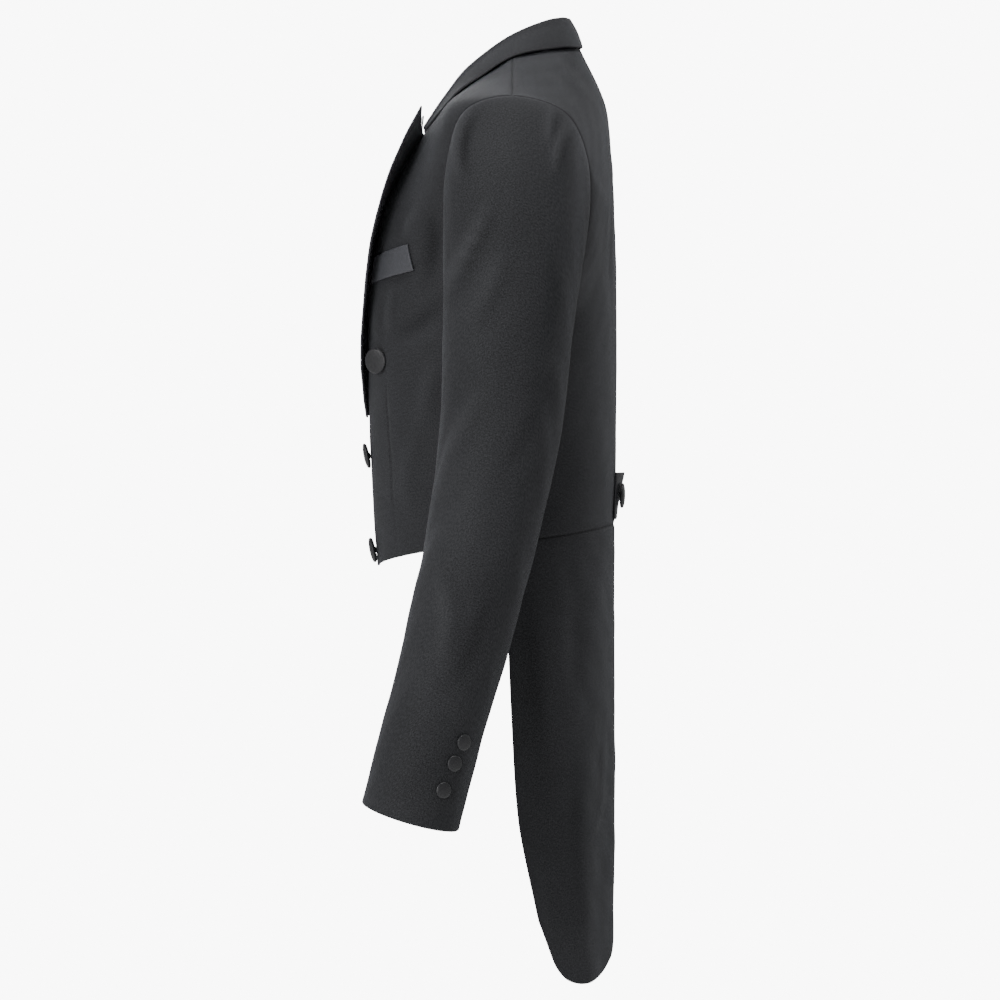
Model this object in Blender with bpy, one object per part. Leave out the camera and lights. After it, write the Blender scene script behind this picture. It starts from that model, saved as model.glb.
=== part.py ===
"""Tailcoat jacket, worn shape with nobody inside, as the pieces of cloth it is cut from.

Frame: origin at the neck, where the shoulder seams end in the middle of the neck opening.
X points to the wearer's left, -Y to the front, Z up. Tables are in millimetres.
Every cloth piece is a grid of points on its middle surface, moved out to both sides.
"""
import math
from collections import namedtuple

import bmesh
import bpy
import numpy as np
from mathutils import Matrix, Vector

# Sizes, millimetres
UNIT = 0.001
CLOTH = 2.0
SATIN = 1.8
SEAM_PULL = 0.22
ARMHOLE_PULL = 0.45
LAY_GAP = 0.35
CENTRE_HALF_GAP = 0.2
MITRE_LIMIT = 0.62

# Levels of the body's tables and places once around an armhole or sleeve
UNDERARM_LEVEL = 3
SHOULDER_LEVEL = 9
NECK_LEVEL = 8
AROUND = 12

FRONT_BUTTON_RADIUS = 11.3
CUFF_BUTTON_RADIUS = 7.2
BUTTON_SIDES = 14
BUTTON_CLEAR = 0.4
SHANK_SHARE = 0.32
SHANK_LENGTH = 0.07
LEANING_LENGTH = 0.45
TURN_EFFECT = 0.8
CROWN_HEIGHT = 0.35

DART_PLACE = 0.33
DART_HALF_WIDTH = 0.012
DART_DEPTH = 0.9
DART_FADE = 0.5
DART_TOP_LEVEL = 2.7

WELT_INNER = 0.14
WELT_OUTER_LOW = 0.60
WELT_OUTER_HIGH = 0.545
WELT_LEVEL = 4.74
WELT_RISE = 0.16
WELT_HEIGHT = 0.50

BELT_HALF_PLACE = 0.165
BELT_STAND = 6.2
BELT_LOW_LEVEL = 0.09
BELT_HIGH_LEVEL = 0.93
BELT_FLARE = 1.5
BELT_BUTTON_STAND = 0.33

# How the sleeve cap leaves the armhole and reaches the arm
CAP_FRONT_SPREAD = 0.52
CAP_BACK_SPREAD = 0.05
CAP_FALL = -0.32
CAP_LEAVE = 0.62
CAP_ARRIVE = 0.95
CUFF_DIP = 6.5
TOP_SLEEVE_FROM = 2.5
TOP_SLEEVE_TO = 9.5
FOLD_FADE = 0.35

# Turn of the collar over its roll and bow of its fall
ROLL_RADIUS = 2.6
ROLL_FLATNESS = 0.8
FALL_BOW = 1.0
FALL_RISE = 0.6
STAND_SHARES = (0.0, 0.45, 0.9)
ROLL_DEGREES = (35, 80, 125)
FALL_SHARES = (0.12, 0.4, 0.7, 1.0)

# Tail waves grow from the waist down, and the lapel bellies most near its roll
WAVE_GROWTH = 1.5
WAVE_DELAY = 0.2
WAVE_SIDEWAYS = 0.5
BELLY_SKEW = 1.6

# Grid divisions
ARM_STEP = 0.5
NECK_STEP = 0.25
SIDE_STRIPS = 8
TAIL_STRIPS = 17
CAP_STRIPS = 5
ARM_STRIPS = 11
LAPEL_STATIONS = 17
LAPEL_COLUMNS = 8
COLLAR_STATIONS = 29
WELT_STRIPS = 3
WELT_COLUMNS = 8
BELT_STRIPS = 4
BELT_COLUMNS = 15

Point = namedtuple("Point", "x y z")

# Front panel, one row a level: the front edge, then the pull of the cloth off that
# edge and the pull onto the side seam or armhole at the other end of the level.
FrontRow = namedtuple("FrontRow", "edge off_edge onto_side")
FRONT_ROWS = (
    FrontRow(Point(30.0, -119.7, -453.0), Point(50, -1.0, 6), Point(0, -62, -5)),
    FrontRow(Point(30.0, -123.8, -395.0), Point(52, -1.0, 3), Point(0, -66, 0)),
    FrontRow(Point(31.0, -126.6, -335.0), Point(54, -1.5, 2), Point(0, -72, 0)),
    FrontRow(Point(38.0, -127.8, -268.0), Point(54, -1.5, 2), Point(-1, -76, 0)),
    FrontRow(Point(43.0, -128.0, -232.0), Point(54, -1.0, 2), Point(-5, -42, 0)),
    FrontRow(Point(49.0, -124.5, -190.0), Point(52, 0.0, 2), Point(-13, -32, 0)),
    FrontRow(Point(56.0, -114.5, -138.0), Point(50, 4.0, 2), Point(-14, -30, 0)),
    FrontRow(Point(62.0, -93.0, -92.0), Point(46, 8.0, 2), Point(-20, -16, 4)),
    FrontRow(Point(68.0, -55.0, -38.0), Point(44, 4.0, -2), Point(-34, -24, 10)),
    FrontRow(Point(72.0, 0.0, 5.0), Point(48, 0.0, -10), Point(-48, 0, 12)),
)

# Back panel, one row a level: height and depth of the centre back seam and the pulls.
BackRow = namedtuple("BackRow", "centre_y centre_z off_centre onto_side")
BACK_ROWS = (
    BackRow(91.0, -415.5, Point(70, 3, 0), Point(0, 58, 4)),
    BackRow(92.3, -365.0, Point(72, 3, 0), Point(0, 62, 2)),
    BackRow(93.2, -300.0, Point(76, 0, 0), Point(0, 60, 0)),
    BackRow(93.4, -240.0, Point(80, 0, 0), Point(0, 62, 0)),
    BackRow(93.0, -195.0, Point(80, 0, 0), Point(-8, 28, 0)),
    BackRow(91.8, -150.0, Point(80, 0, 0), Point(-20, 18, 2)),
    BackRow(88.6, -95.0, Point(78, 2, -2), Point(-26, 16, 4)),
    BackRow(81.8, -38.0, Point(74, 6, -8), Point(-40, 14, 6)),
    BackRow(58.2, 15.0, Point(62, 14, -22), Point(-50, 16, 4)),
    BackRow(0.0, 5.0, Point(48, 0, -10), Point(-48, 0, 12)),
)

# Side seam from hem to underarm.
SIDE_SEAM = (
    Point(150.0, -5.0, -431.5),
    Point(152.0, -4.0, -372.0),
    Point(163.0, -1.0, -300.0),
    Point(174.0, 2.0, -235.0),
)

# Armhole, once around: underarm, up the front, shoulder point, down the back.
ARMHOLE = (
    Point(174.0, 2.0, -235.0),
    Point(172.0, -27.0, -222.0),
    Point(172.5, -44.0, -184.0),
    Point(179.0, -49.0, -135.0),
    Point(190.0, -52.6, -88.5),
    Point(204.5, -40.0, -49.0),
    Point(214.5, 0.0, -37.5),
    Point(206.0, 46.0, -51.5),
    Point(196.0, 65.3, -90.0),
    Point(189.0, 67.5, -135.0),
    Point(184.0, 58.0, -184.0),
    Point(179.0, 33.0, -222.0),
)

# Back neck seam from the centre back to the shoulder seam.
BACK_NECK = (
    Point(CENTRE_HALF_GAP, 58.2, 15.0),
    Point(30.0, 53.5, 14.4),
    Point(56.0, 35.0, 11.6),
    Point(72.0, 0.0, 5.0),
)

# Sleeve, one row a ring: middle, tilt of the ring and its half sizes.
SleeveRing = namedtuple("SleeveRing", "middle tilt half_depth half_width")
SLEEVE_RINGS = (
    SleeveRing(Point(231.0, -5.0, -262.0), 2.0, 55.6, 50.0),
    SleeveRing(Point(236.0, -7.8, -305.0), 6.0, 53.9, 48.5),
    SleeveRing(Point(240.5, -12.5, -350.0), 9.0, 52.1, 47.0),
    SleeveRing(Point(245.0, -21.0, -395.0), 12.0, 49.5, 45.5),
    SleeveRing(Point(249.5, -30.6, -444.0), 14.5, 47.5, 44.0),
    SleeveRing(Point(254.0, -44.6, -502.0), 15.0, 46.3, 42.5),
    SleeveRing(Point(257.5, -61.3, -565.0), 15.0, 43.9, 41.0),
    SleeveRing(Point(260.0, -74.7, -613.0), 15.2, 43.6, 40.0),
    SleeveRing(Point(262.0, -89.8, -672.5), 15.8, 43.4, 39.0),
)

# Tail, one row a height: centre back edge, front edge and the pulls between them.
TailRow = namedtuple("TailRow", "z centre_x centre_y front_x front_y off_centre onto_front")
TAIL_ROWS = (
    TailRow(-417.0, 0.2, 91.0, 150.0, -5.0, 70, 52),
    TailRow(-484.0, 0.5, 91.2, 152.0, -4.5, 72, 54),
    TailRow(-592.0, 1.5, 91.3, 147.0, -0.6, 74, 50),
    TailRow(-682.0, 3.5, 91.2, 136.0, 5.6, 70, 42),
    TailRow(-761.0, 6.5, 90.0, 120.0, 21.5, 60, 32),
    TailRow(-830.0, 9.5, 88.0, 101.0, 37.0, 50, 24),
)

# Lower edge of the tail: place across it and height.
TailHem = namedtuple("TailHem", "place z")
TAIL_HEM = (
    TailHem(0.0, -772.0),
    TailHem(0.1, -797.0),
    TailHem(0.25, -815.0),
    TailHem(0.45, -823.5),
    TailHem(0.65, -826.8),
    TailHem(0.82, -822.0),
    TailHem(0.93, -808.0),
    TailHem(1.0, -770.0),
)

# Lapel, one row a station up the roll line: level on the front panel, outer edge and
# how far the cloth bellies forward between the roll and that edge.
LapelRow = namedtuple("LapelRow", "level outer belly")
LAPEL_ROWS = (
    LapelRow(2.25, Point(34.5, -130.2, -320.0), 0.6),
    LapelRow(2.55, Point(47.0, -132.8, -301.0), 1.8),
    LapelRow(2.95, Point(61.0, -135.0, -274.0), 2.6),
    LapelRow(3.75, Point(78.0, -134.2, -240.0), 2.8),
    LapelRow(4.65, Point(95.0, -130.6, -200.0), 2.8),
    LapelRow(5.50, Point(113.0, -124.4, -157.0), 3.0),
    LapelRow(6.30, Point(129.0, -112.6, -113.0), 3.0),
    LapelRow(7.00, Point(141.5, -96.6, -73.6), 2.8),
    LapelRow(7.47, Point(151.0, -80.4, -43.8), 2.2),
)

# Collar, one row a station from the notch at the front to the centre back.
CollarRow = namedtuple("CollarRow", "seam roll edge")
COLLAR_ROWS = (
    CollarRow(Point(61.8, -76.0, -62.5), Point(60.8, -79.5, -62.5), Point(92.0, -63.0, -46.0)),
    CollarRow(Point(64.8, -55.0, -38.0), Point(63.0, -59.0, -33.0), Point(98.0, -48.5, -29.9)),
    CollarRow(Point(67.3, -34.0, -18.0), Point(64.5, -38.0, -7.4), Point(100.5, -28.5, -16.3)),
    CollarRow(Point(69.2, 0.0, 4.0), Point(64.5, -4.0, 17.6), Point(97.0, 2.0, 2.3)),
    CollarRow(Point(54.5, 33.0, 10.5), Point(52.0, 27.0, 32.0), Point(73.0, 42.0, 10.0)),
    CollarRow(Point(29.0, 50.6, 13.5), Point(28.5, 43.0, 36.0), Point(42.0, 59.0, 11.6)),
    CollarRow(Point(0.0, 55.5, 14.0), Point(0.0, 47.5, 36.4), Point(0.0, 63.0, 12.4)),
)

# Soft folds of the sleeve: place around it, ring it starts and ends at, depth.
Fold = namedtuple("Fold", "around_start around_end ring_start ring_end width depth")
SLEEVE_FOLDS = (
    Fold(3.4, 4.9, 2.6, 0.9, 0.45, 1.6),
    Fold(3.2, 5.2, 4.2, 2.9, 0.50, 1.2),
    Fold(8.9, 7.4, 2.2, 0.8, 0.50, 1.3),
    Fold(9.3, 7.9, 4.6, 3.6, 0.45, 1.0),
    Fold(3.6, 4.6, 6.2, 5.2, 0.45, 0.9),
    Fold(6.2, 6.4, 0.5, 3.6, 0.55, 0.9),
    Fold(1.2, 0.2, 1.6, 2.6, 0.50, 1.2),
)

# Soft lengthwise waves of the tail: place across it, width and depth.
Wave = namedtuple("Wave", "place width depth")
TAIL_WAVES = (
    Wave(0.12, 0.07, 1.8),
    Wave(0.33, 0.10, -1.6),
    Wave(0.56, 0.08, 1.5),
    Wave(0.80, 0.09, -1.4),
)

# Half section of a covered button, shares of its radius: from the shank's foot to the face.
ButtonRing = namedtuple("ButtonRing", "radius height lifted")
BUTTON_PROFILE = (
    ButtonRing(SHANK_SHARE, 0.0, 0),
    ButtonRing(SHANK_SHARE, 0.0, 1),
    ButtonRing(0.80, 0.0, 1),
    ButtonRing(1.0, 0.12, 1),
    ButtonRing(0.94, 0.22, 1),
    ButtonRing(0.55, 0.32, 1),
)

# Front buttons: place across the level, level, tip of the top edge off the cloth, turn.
ButtonSeat = namedtuple("ButtonSeat", "place level tip turn")
FRONT_BUTTONS = (
    ButtonSeat(0.275, 2.845, 0.0, 30.0),
    ButtonSeat(0.045, 1.69, 9.0, 0.0),
    ButtonSeat(0.045, 0.24, 8.0, 0.0),
)
CUFF_BUTTONS = (
    ButtonSeat(7.30, 6.68, 0.0, 0.0),
    ButtonSeat(7.13, 7.05, 0.0, 0.0),
    ButtonSeat(6.95, 7.45, 0.0, 0.0),
)
BELT_BUTTONS = (
    ButtonSeat(0.105, 0.53, 0.0, 0.0),
)

ACROSS = np.array([0, 0.09, 0.17, 0.25, DART_PLACE - DART_HALF_WIDTH, DART_PLACE,
                   DART_PLACE + DART_HALF_WIDTH, 0.43, 0.53, 0.63, 0.73, 0.83, 0.92, 1.0])
ARM_LEVELS = np.concatenate([np.arange(UNDERARM_LEVEL, NECK_LEVEL, ARM_STEP),
                             np.arange(NECK_LEVEL, SHOULDER_LEVEL + NECK_STEP / 2, NECK_STEP)])
BODY_LEVELS = np.concatenate([np.linspace(0, UNDERARM_LEVEL, SIDE_STRIPS + 1)[:-1], ARM_LEVELS])


def through(values, at):
    """Smooth curve through a table's rows, whose places are 0, 1, 2 and so on."""
    values = np.asarray(values, float)
    at = np.clip(np.asarray(at, float), 0, len(values) - 1)
    slopes = np.gradient(values, axis=0)
    low = np.clip(at.astype(int), 0, len(values) - 2)
    t = at - low
    if values.ndim > 1:
        t = t[..., None]
    return ((2 * t ** 3 - 3 * t ** 2 + 1) * values[low]
            + (t ** 3 - 2 * t ** 2 + t) * slopes[low]
            + (3 * t ** 2 - 2 * t ** 3) * values[low + 1]
            + (t ** 3 - t ** 2) * slopes[low + 1])


def by_column(places, values, at):
    """Smooth curve through values given at uneven places."""
    places = np.asarray(places, float)
    order = np.argsort(places)
    index = np.interp(at, places[order], np.arange(len(places)))
    return through(np.asarray(values, float)[order], index)


def around_armhole(place):
    """Point of the armhole at a place, counted from the underarm."""
    table = np.asarray(ARMHOLE)
    closed = np.concatenate([table[-2:], table, table[:3]])
    return through(closed, np.mod(place, AROUND) + 2)


def side_edge(level, toward_back):
    """Side seam below the underarm and armhole above it."""
    level = np.asarray(level, float)
    seam = through(SIDE_SEAM, level)
    climb = np.clip(level - UNDERARM_LEVEL, 0, None)
    hole = around_armhole(AROUND - climb if toward_back else climb)
    return np.where((level <= UNDERARM_LEVEL)[..., None], seam, hole)


def side_pull(pulls, level, toward_back):
    """Point that the cloth aims at before the side edge, without the underarm's corner."""
    rows = np.arange(len(pulls))
    return through(side_edge(rows, toward_back) + np.asarray(pulls, float), level)


def pulled(start, off, onto, end, place):
    """Cubic curve from start to end that leaves along off and arrives from onto."""
    t = place[..., None]
    return ((1 - t) ** 3 * start + 3 * (1 - t) ** 2 * t * (start + off)
            + 3 * (1 - t) * t ** 2 * (end + onto) + t ** 3 * end)


def front_points(place, level):
    """Middle surface of the left front."""
    place, level = np.broadcast_arrays(np.asarray(place, float), np.asarray(level, float))
    edge = through([row.edge for row in FRONT_ROWS], level)
    off = through([row.off_edge for row in FRONT_ROWS], level)
    side = side_edge(level, False)
    onto = side_pull([row.onto_side for row in FRONT_ROWS], level, False) - side
    return pulled(edge, off, onto, side, place)


def back_points(place, level):
    """Middle surface of the left back."""
    place, level = np.broadcast_arrays(np.asarray(place, float), np.asarray(level, float))
    centre_rows = [(CENTRE_HALF_GAP, row.centre_y, row.centre_z) for row in BACK_ROWS[:-1]]
    centre = through(centre_rows, level)
    neck = through(BACK_NECK, np.clip(level - NECK_LEVEL, 0, 1) * (len(BACK_NECK) - 1))
    start = np.where((level <= NECK_LEVEL)[..., None], centre, neck)
    off = through([row.off_centre for row in BACK_ROWS], level)
    side = side_edge(level, True)
    onto = side_pull([row.onto_side for row in BACK_ROWS], level, True) - side
    return pulled(start, off, onto, side, place)


def tail_points(place, fall):
    """Middle surface of the left tail, fall 0 at the waist seam and 1 at its hem."""
    place, fall = np.broadcast_arrays(np.asarray(place, float), np.asarray(fall, float))
    waist = back_points(place, 0.0)
    hem = by_column([row.place for row in TAIL_HEM], [row.z for row in TAIL_HEM], place)
    height = waist[..., 2] + (hem - waist[..., 2]) * fall
    surface = tail_section(place, height)
    at_waist = tail_section(place, waist[..., 2])
    settled = surface + (waist - at_waist) * ((1 - fall) ** 3)[..., None]
    grown = np.clip(fall * WAVE_GROWTH - WAVE_DELAY, 0, 1)
    for wave in TAIL_WAVES:
        swell = np.exp(-((place - wave.place) / wave.width) ** 2) * wave.depth * grown
        settled[..., 1] += swell * (1 - WAVE_SIDEWAYS * place)
        settled[..., 0] += swell * WAVE_SIDEWAYS * place
    return settled


def tail_section(place, height):
    """Level curve of the hanging tail from its centre back edge to its front edge."""
    rows = TAIL_ROWS
    heights = [row.z for row in rows]

    def column(values):
        return by_column(heights, values, height)

    zero = np.zeros_like(height)
    start = np.stack([column([r.centre_x for r in rows]), column([r.centre_y for r in rows]),
                      height], -1)
    end = np.stack([column([r.front_x for r in rows]), column([r.front_y for r in rows]),
                    height], -1)
    off = np.stack([column([r.off_centre for r in rows]), zero, zero], -1)
    onto = np.stack([zero, column([r.onto_front for r in rows]), zero], -1)
    return pulled(start, off, onto, end, place)


def sleeve_ring_points(around, ring):
    """Middle surface of the left sleeve below the armpit."""
    around, ring = np.broadcast_arrays(np.asarray(around, float), np.asarray(ring, float))
    middle = through([row.middle for row in SLEEVE_RINGS], ring)
    tilt = np.radians(through([row.tilt for row in SLEEVE_RINGS], ring))
    depth = through([row.half_depth for row in SLEEVE_RINGS], ring)
    width = through([row.half_width for row in SLEEVE_RINGS], ring)
    angle = around * math.tau / AROUND
    backward = -np.sin(angle) * depth
    dip = CUFF_DIP * np.cos(angle) * np.clip(ring / (len(SLEEVE_RINGS) - 1), 0, 1) ** 4
    return middle + np.stack([-np.cos(angle) * width, backward * np.cos(tilt),
                              dip - backward * np.sin(tilt)], -1)


def sleeve_points(around, ring):
    """Left sleeve: ring -1 is the armhole, 0 the armpit ring, 8 the cuff."""
    around, ring = np.broadcast_arrays(np.asarray(around, float), np.asarray(ring, float))
    hole = around_armhole(around)
    armpit = sleeve_ring_points(around, 0.0)
    angle = around * math.tau / AROUND
    forward = np.sin(angle)
    spread = np.where(forward > 0, CAP_FRONT_SPREAD, CAP_BACK_SPREAD)
    fall = np.full_like(angle, CAP_FALL)
    leave = np.stack([np.ones_like(angle), -forward * spread, fall], -1)
    leave /= np.linalg.norm(leave, axis=-1, keepdims=True)
    arrive = sleeve_ring_points(around, 0.1) - armpit
    arrive /= np.linalg.norm(arrive, axis=-1, keepdims=True)
    reach = np.linalg.norm(armpit - hole, axis=-1, keepdims=True)
    t = np.clip(ring + 1, 0, 1)[..., None]
    cap = ((2 * t ** 3 - 3 * t ** 2 + 1) * hole
           + (t ** 3 - 2 * t ** 2 + t) * leave * reach * CAP_LEAVE
           + (3 * t ** 2 - 2 * t ** 3) * armpit
           + (t ** 3 - t ** 2) * arrive * reach * CAP_ARRIVE)
    arm = sleeve_ring_points(around, np.clip(ring, 0, None))
    return np.where((ring <= 0)[..., None], cap, arm)


def sleeve_fold_depth(around, ring):
    """How far the folds press the sleeve in at each place."""
    press = np.zeros(around.shape)
    for fold in SLEEVE_FOLDS:
        span = fold.ring_end - fold.ring_start
        t = np.clip((ring - fold.ring_start) / span, 0, 1)
        line = fold.around_start + (fold.around_end - fold.around_start) * t
        beyond = (ring - fold.ring_start - span * t) / FOLD_FADE
        press += fold.depth * np.exp(-((around - line) / fold.width) ** 2 - beyond ** 2)
    return press


def grid_normals(points):
    """Unit normals of a grid of points."""
    normals = np.cross(np.gradient(points, axis=1), np.gradient(points, axis=0))
    return normals / np.maximum(np.linalg.norm(normals, axis=-1, keepdims=True), 1e-9)


class Cloth:
    """A grid of middle points with a wall, knowing which way is out."""

    def __init__(self, name, points, wall, material, turned=False):
        self.name = name
        self.points = np.array(points, float)
        self.wall = wall
        self.material = material
        self.normals = grid_normals(self.points) * (-1 if turned else 1)

    def mirrored(self, name):
        """The same piece for the wearer's other side."""
        twin = Cloth(name, self.points * (-1, 1, 1), self.wall, self.material)
        twin.normals = self.normals * (-1, 1, 1)
        return twin

    def edge_keys(self):
        """Places of the border points, rounded so neighbours find each other."""
        rows, columns = self.points.shape[:2]
        for i in range(rows):
            for j in range(columns):
                if i in (0, rows - 1) or j in (0, columns - 1):
                    yield i, j, tuple(np.round(self.points[i, j], 2))

    def pull_in(self, amount):
        """Move the border in by half a seam gap."""
        moved = self.points.copy()
        for edge, inner in ((0, 1), (-1, -2)):
            step = self.points[inner] - self.points[edge]
            moved[edge] += step / np.linalg.norm(step, axis=-1, keepdims=True) * amount
            step = self.points[:, inner] - self.points[:, edge]
            moved[:, edge] += step / np.linalg.norm(step, axis=-1, keepdims=True) * amount
        self.points = moved

    def build(self):
        """Make the closed solid."""
        half = self.wall / 2
        outer = self.points + self.normals * half
        inner = self.points - self.normals * half
        rows, columns = self.points.shape[:2]
        count = rows * columns
        vertices = np.concatenate([outer.reshape(-1, 3), inner.reshape(-1, 3)]) * UNIT
        index = np.arange(count).reshape(rows, columns)
        faces = []
        for i in range(rows - 1):
            for j in range(columns - 1):
                quad = (index[i, j], index[i + 1, j], index[i + 1, j + 1], index[i, j + 1])
                faces.append(quad)
                faces.append(tuple(v + count for v in reversed(quad)))
        rim = (list(index[0, :]) + list(index[1:, -1]) + list(index[-1, -2::-1])
               + list(index[-2:0:-1, 0]))
        for here, there in zip(rim, rim[1:] + rim[:1]):
            faces.append((here, there, there + count, here + count))
        add_object(self.name, vertices, faces, self.material)


def share_seams(cloths):
    """Give the pieces that meet at a seam one direction there, so that their edges match."""
    sums = {}
    for cloth in cloths:
        for i, j, key in cloth.edge_keys():
            sums[key] = sums.get(key, 0) + cloth.normals[i, j]
    for cloth in cloths:
        for i, j, key in cloth.edge_keys():
            shared = sums[key] / max(np.linalg.norm(sums[key]), 1e-9)
            stretch = max(float(np.dot(shared, cloth.normals[i, j])), MITRE_LIMIT)
            cloth.normals[i, j] = shared / stretch


def add_object(name, vertices, faces, material):
    """Add a closed mesh facing out, as triangles."""
    mesh = bpy.data.meshes.new(name)
    mesh.from_pydata([tuple(v) for v in vertices], [], [tuple(int(v) for v in f) for f in faces])
    shape = bmesh.new()
    shape.from_mesh(mesh)
    bmesh.ops.triangulate(shape, faces=shape.faces)
    bmesh.ops.recalc_face_normals(shape, faces=shape.faces)
    if shape.calc_volume(signed=True) < 0:
        bmesh.ops.reverse_faces(shape, faces=shape.faces)
    shape.to_mesh(mesh)
    shape.free()
    thing = bpy.data.objects.new(name, mesh)
    own = material.copy()
    own.name = name
    thing.data.materials.append(own)
    bpy.context.scene.collection.objects.link(thing)


def make_material(name, colour, roughness):
    """Plain Principled material."""
    material = bpy.data.materials.new(name)
    material.use_nodes = True
    shader = material.node_tree.nodes["Principled BSDF"]
    shader.inputs["Base Color"].default_value = (*colour, 1.0)
    shader.inputs["Roughness"].default_value = roughness
    return material


def surface_seat(surface, place, level, step=0.01):
    """Point of a surface and its unit normal, from its places toward its levels."""
    here = surface(place, level)
    across = surface(place + step, level) - surface(place - step, level)
    along = surface(place, level + step) - surface(place, level - step)
    normal = np.cross(across, along)
    return here, normal / np.linalg.norm(normal)


def add_button(name, seat, normal, radius, material, tip=0.0, turn=0.0):
    """Covered button: short shank, rounded edge and domed face."""
    axis = Vector(normal).normalized()
    side = axis.cross(Vector((0, 0, 1))).normalized()
    axis = Matrix.Rotation(math.radians(turn), 3, "Z") @ axis
    axis = Matrix.Rotation(math.radians(-tip), 3, side) @ axis
    side = axis.cross(Vector((0, 0, 1))).normalized()
    up = side.cross(axis).normalized()
    lean = math.sin(math.radians(abs(tip) + abs(turn) * TURN_EFFECT))
    stand_off = CLOTH / 2 + BUTTON_CLEAR + SHANK_SHARE * radius * lean
    base = Vector(seat) + Vector(normal) * stand_off
    lift = (SHANK_LENGTH + LEANING_LENGTH * lean) * radius
    vertices = []
    for row in BUTTON_PROFILE:
        height = lift * row.lifted + row.height * radius
        for k in range(BUTTON_SIDES):
            angle = math.tau * k / BUTTON_SIDES
            spot = (base + axis * height
                    + (side * math.cos(angle) + up * math.sin(angle)) * (row.radius * radius))
            vertices.append(tuple(v * UNIT for v in spot))
    vertices.append(tuple(v * UNIT for v in base + axis * (lift + CROWN_HEIGHT * radius)))
    crown = len(vertices) - 1
    faces = [tuple(reversed(range(BUTTON_SIDES)))]
    for ring in range(len(BUTTON_PROFILE) - 1):
        for k in range(BUTTON_SIDES):
            a = ring * BUTTON_SIDES + k
            b = ring * BUTTON_SIDES + (k + 1) % BUTTON_SIDES
            faces.append((a, b, b + BUTTON_SIDES, a + BUTTON_SIDES))
    last = (len(BUTTON_PROFILE) - 1) * BUTTON_SIDES
    for k in range(BUTTON_SIDES):
        faces.append((last + k, last + (k + 1) % BUTTON_SIDES, crown))
    add_object(name, vertices, faces, material)


def collar_section(station):
    """Points of the folded collar from its seam over the roll to its outer edge."""
    seam = through([row.seam for row in COLLAR_ROWS], station)
    roll = through([row.roll for row in COLLAR_ROWS], station)
    edge = through([row.edge for row in COLLAR_ROWS], station)
    outward = edge - seam
    outward[2] = 0
    outward /= np.linalg.norm(outward)
    rise = np.array([0.0, 0.0, 1.0])
    points = [seam + (roll - seam) * t for t in STAND_SHARES]
    top = roll + outward * ROLL_RADIUS
    for degrees in ROLL_DEGREES:
        angle = math.radians(degrees)
        points.append(top - outward * ROLL_RADIUS * math.cos(angle)
                      + rise * ROLL_RADIUS * ROLL_FLATNESS * math.sin(angle))
    start = top + outward * ROLL_RADIUS
    for t in FALL_SHARES:
        bow = (outward * FALL_BOW + rise * FALL_RISE) * math.sin(math.pi * t)
        points.append(start + (edge - start) * t + bow)
    return np.array(points)


def lapel_points():
    """Middle surface of the left lapel's facing, from beside the roll line to its edge."""
    rows = np.linspace(0, len(LAPEL_ROWS) - 1, LAPEL_STATIONS)
    level = through([row.level for row in LAPEL_ROWS], rows)
    outer = through([row.outer for row in LAPEL_ROWS], rows)
    belly = through([row.belly for row in LAPEL_ROWS], rows)
    roll = front_points(0.0, level)
    forward = np.array([0.0, -1.0, 0.0])
    start = roll + forward * (CLOTH / 2 + SATIN / 2 + LAY_GAP)
    grid = []
    for t in np.linspace(0, 1, LAPEL_COLUMNS):
        bow = 4 * t * (1 - t) ** BELLY_SKEW
        grid.append(start + (outer - start) * t + forward * (belly * bow)[:, None])
    return np.array(grid).transpose(1, 0, 2)


def welt_points():
    """Middle surface of the breast welt, on the left front's own points."""
    grid = []
    for climb in np.linspace(0, 1, WELT_STRIPS + 1):
        row = []
        for t in np.linspace(0, 1, WELT_COLUMNS):
            outer = WELT_OUTER_LOW + (WELT_OUTER_HIGH - WELT_OUTER_LOW) * climb
            place = WELT_INNER + (outer - WELT_INNER) * t
            level = WELT_LEVEL + WELT_RISE * t + WELT_HEIGHT * climb
            here, out = surface_seat(front_points, place, level)
            row.append(here + out * (CLOTH / 2 + LAY_GAP + SATIN / 2))
        grid.append(row)
    return np.array(grid)


def belt_points():
    """Middle surface of the half belt, on the backs' own points."""
    grid = []
    for climb in np.linspace(0, 1, BELT_STRIPS + 1):
        level = BELT_LOW_LEVEL + (BELT_HIGH_LEVEL - BELT_LOW_LEVEL) * climb
        row = []
        for t in np.linspace(-1, 1, BELT_COLUMNS):
            here, inward = surface_seat(back_points, abs(t) * BELT_HALF_PLACE, level)
            stand = BELT_STAND * climb ** BELT_FLARE * (1 - t * t)
            spot = here - inward * (CLOTH / 2 + LAY_GAP + SATIN / 2 + stand)
            row.append(spot * (1 if t >= 0 else -1, 1, 1))
        grid.append(row)
    return np.array(grid)


def dart(points, normals):
    """Press the dart's line into the front."""
    column = int(np.argmin(abs(ACROSS - DART_PLACE)))
    fade = np.clip((DART_TOP_LEVEL - BODY_LEVELS) / DART_FADE, 0, 1)
    points[:, column] -= normals[:, column] * (DART_DEPTH * fade)[:, None]


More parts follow.
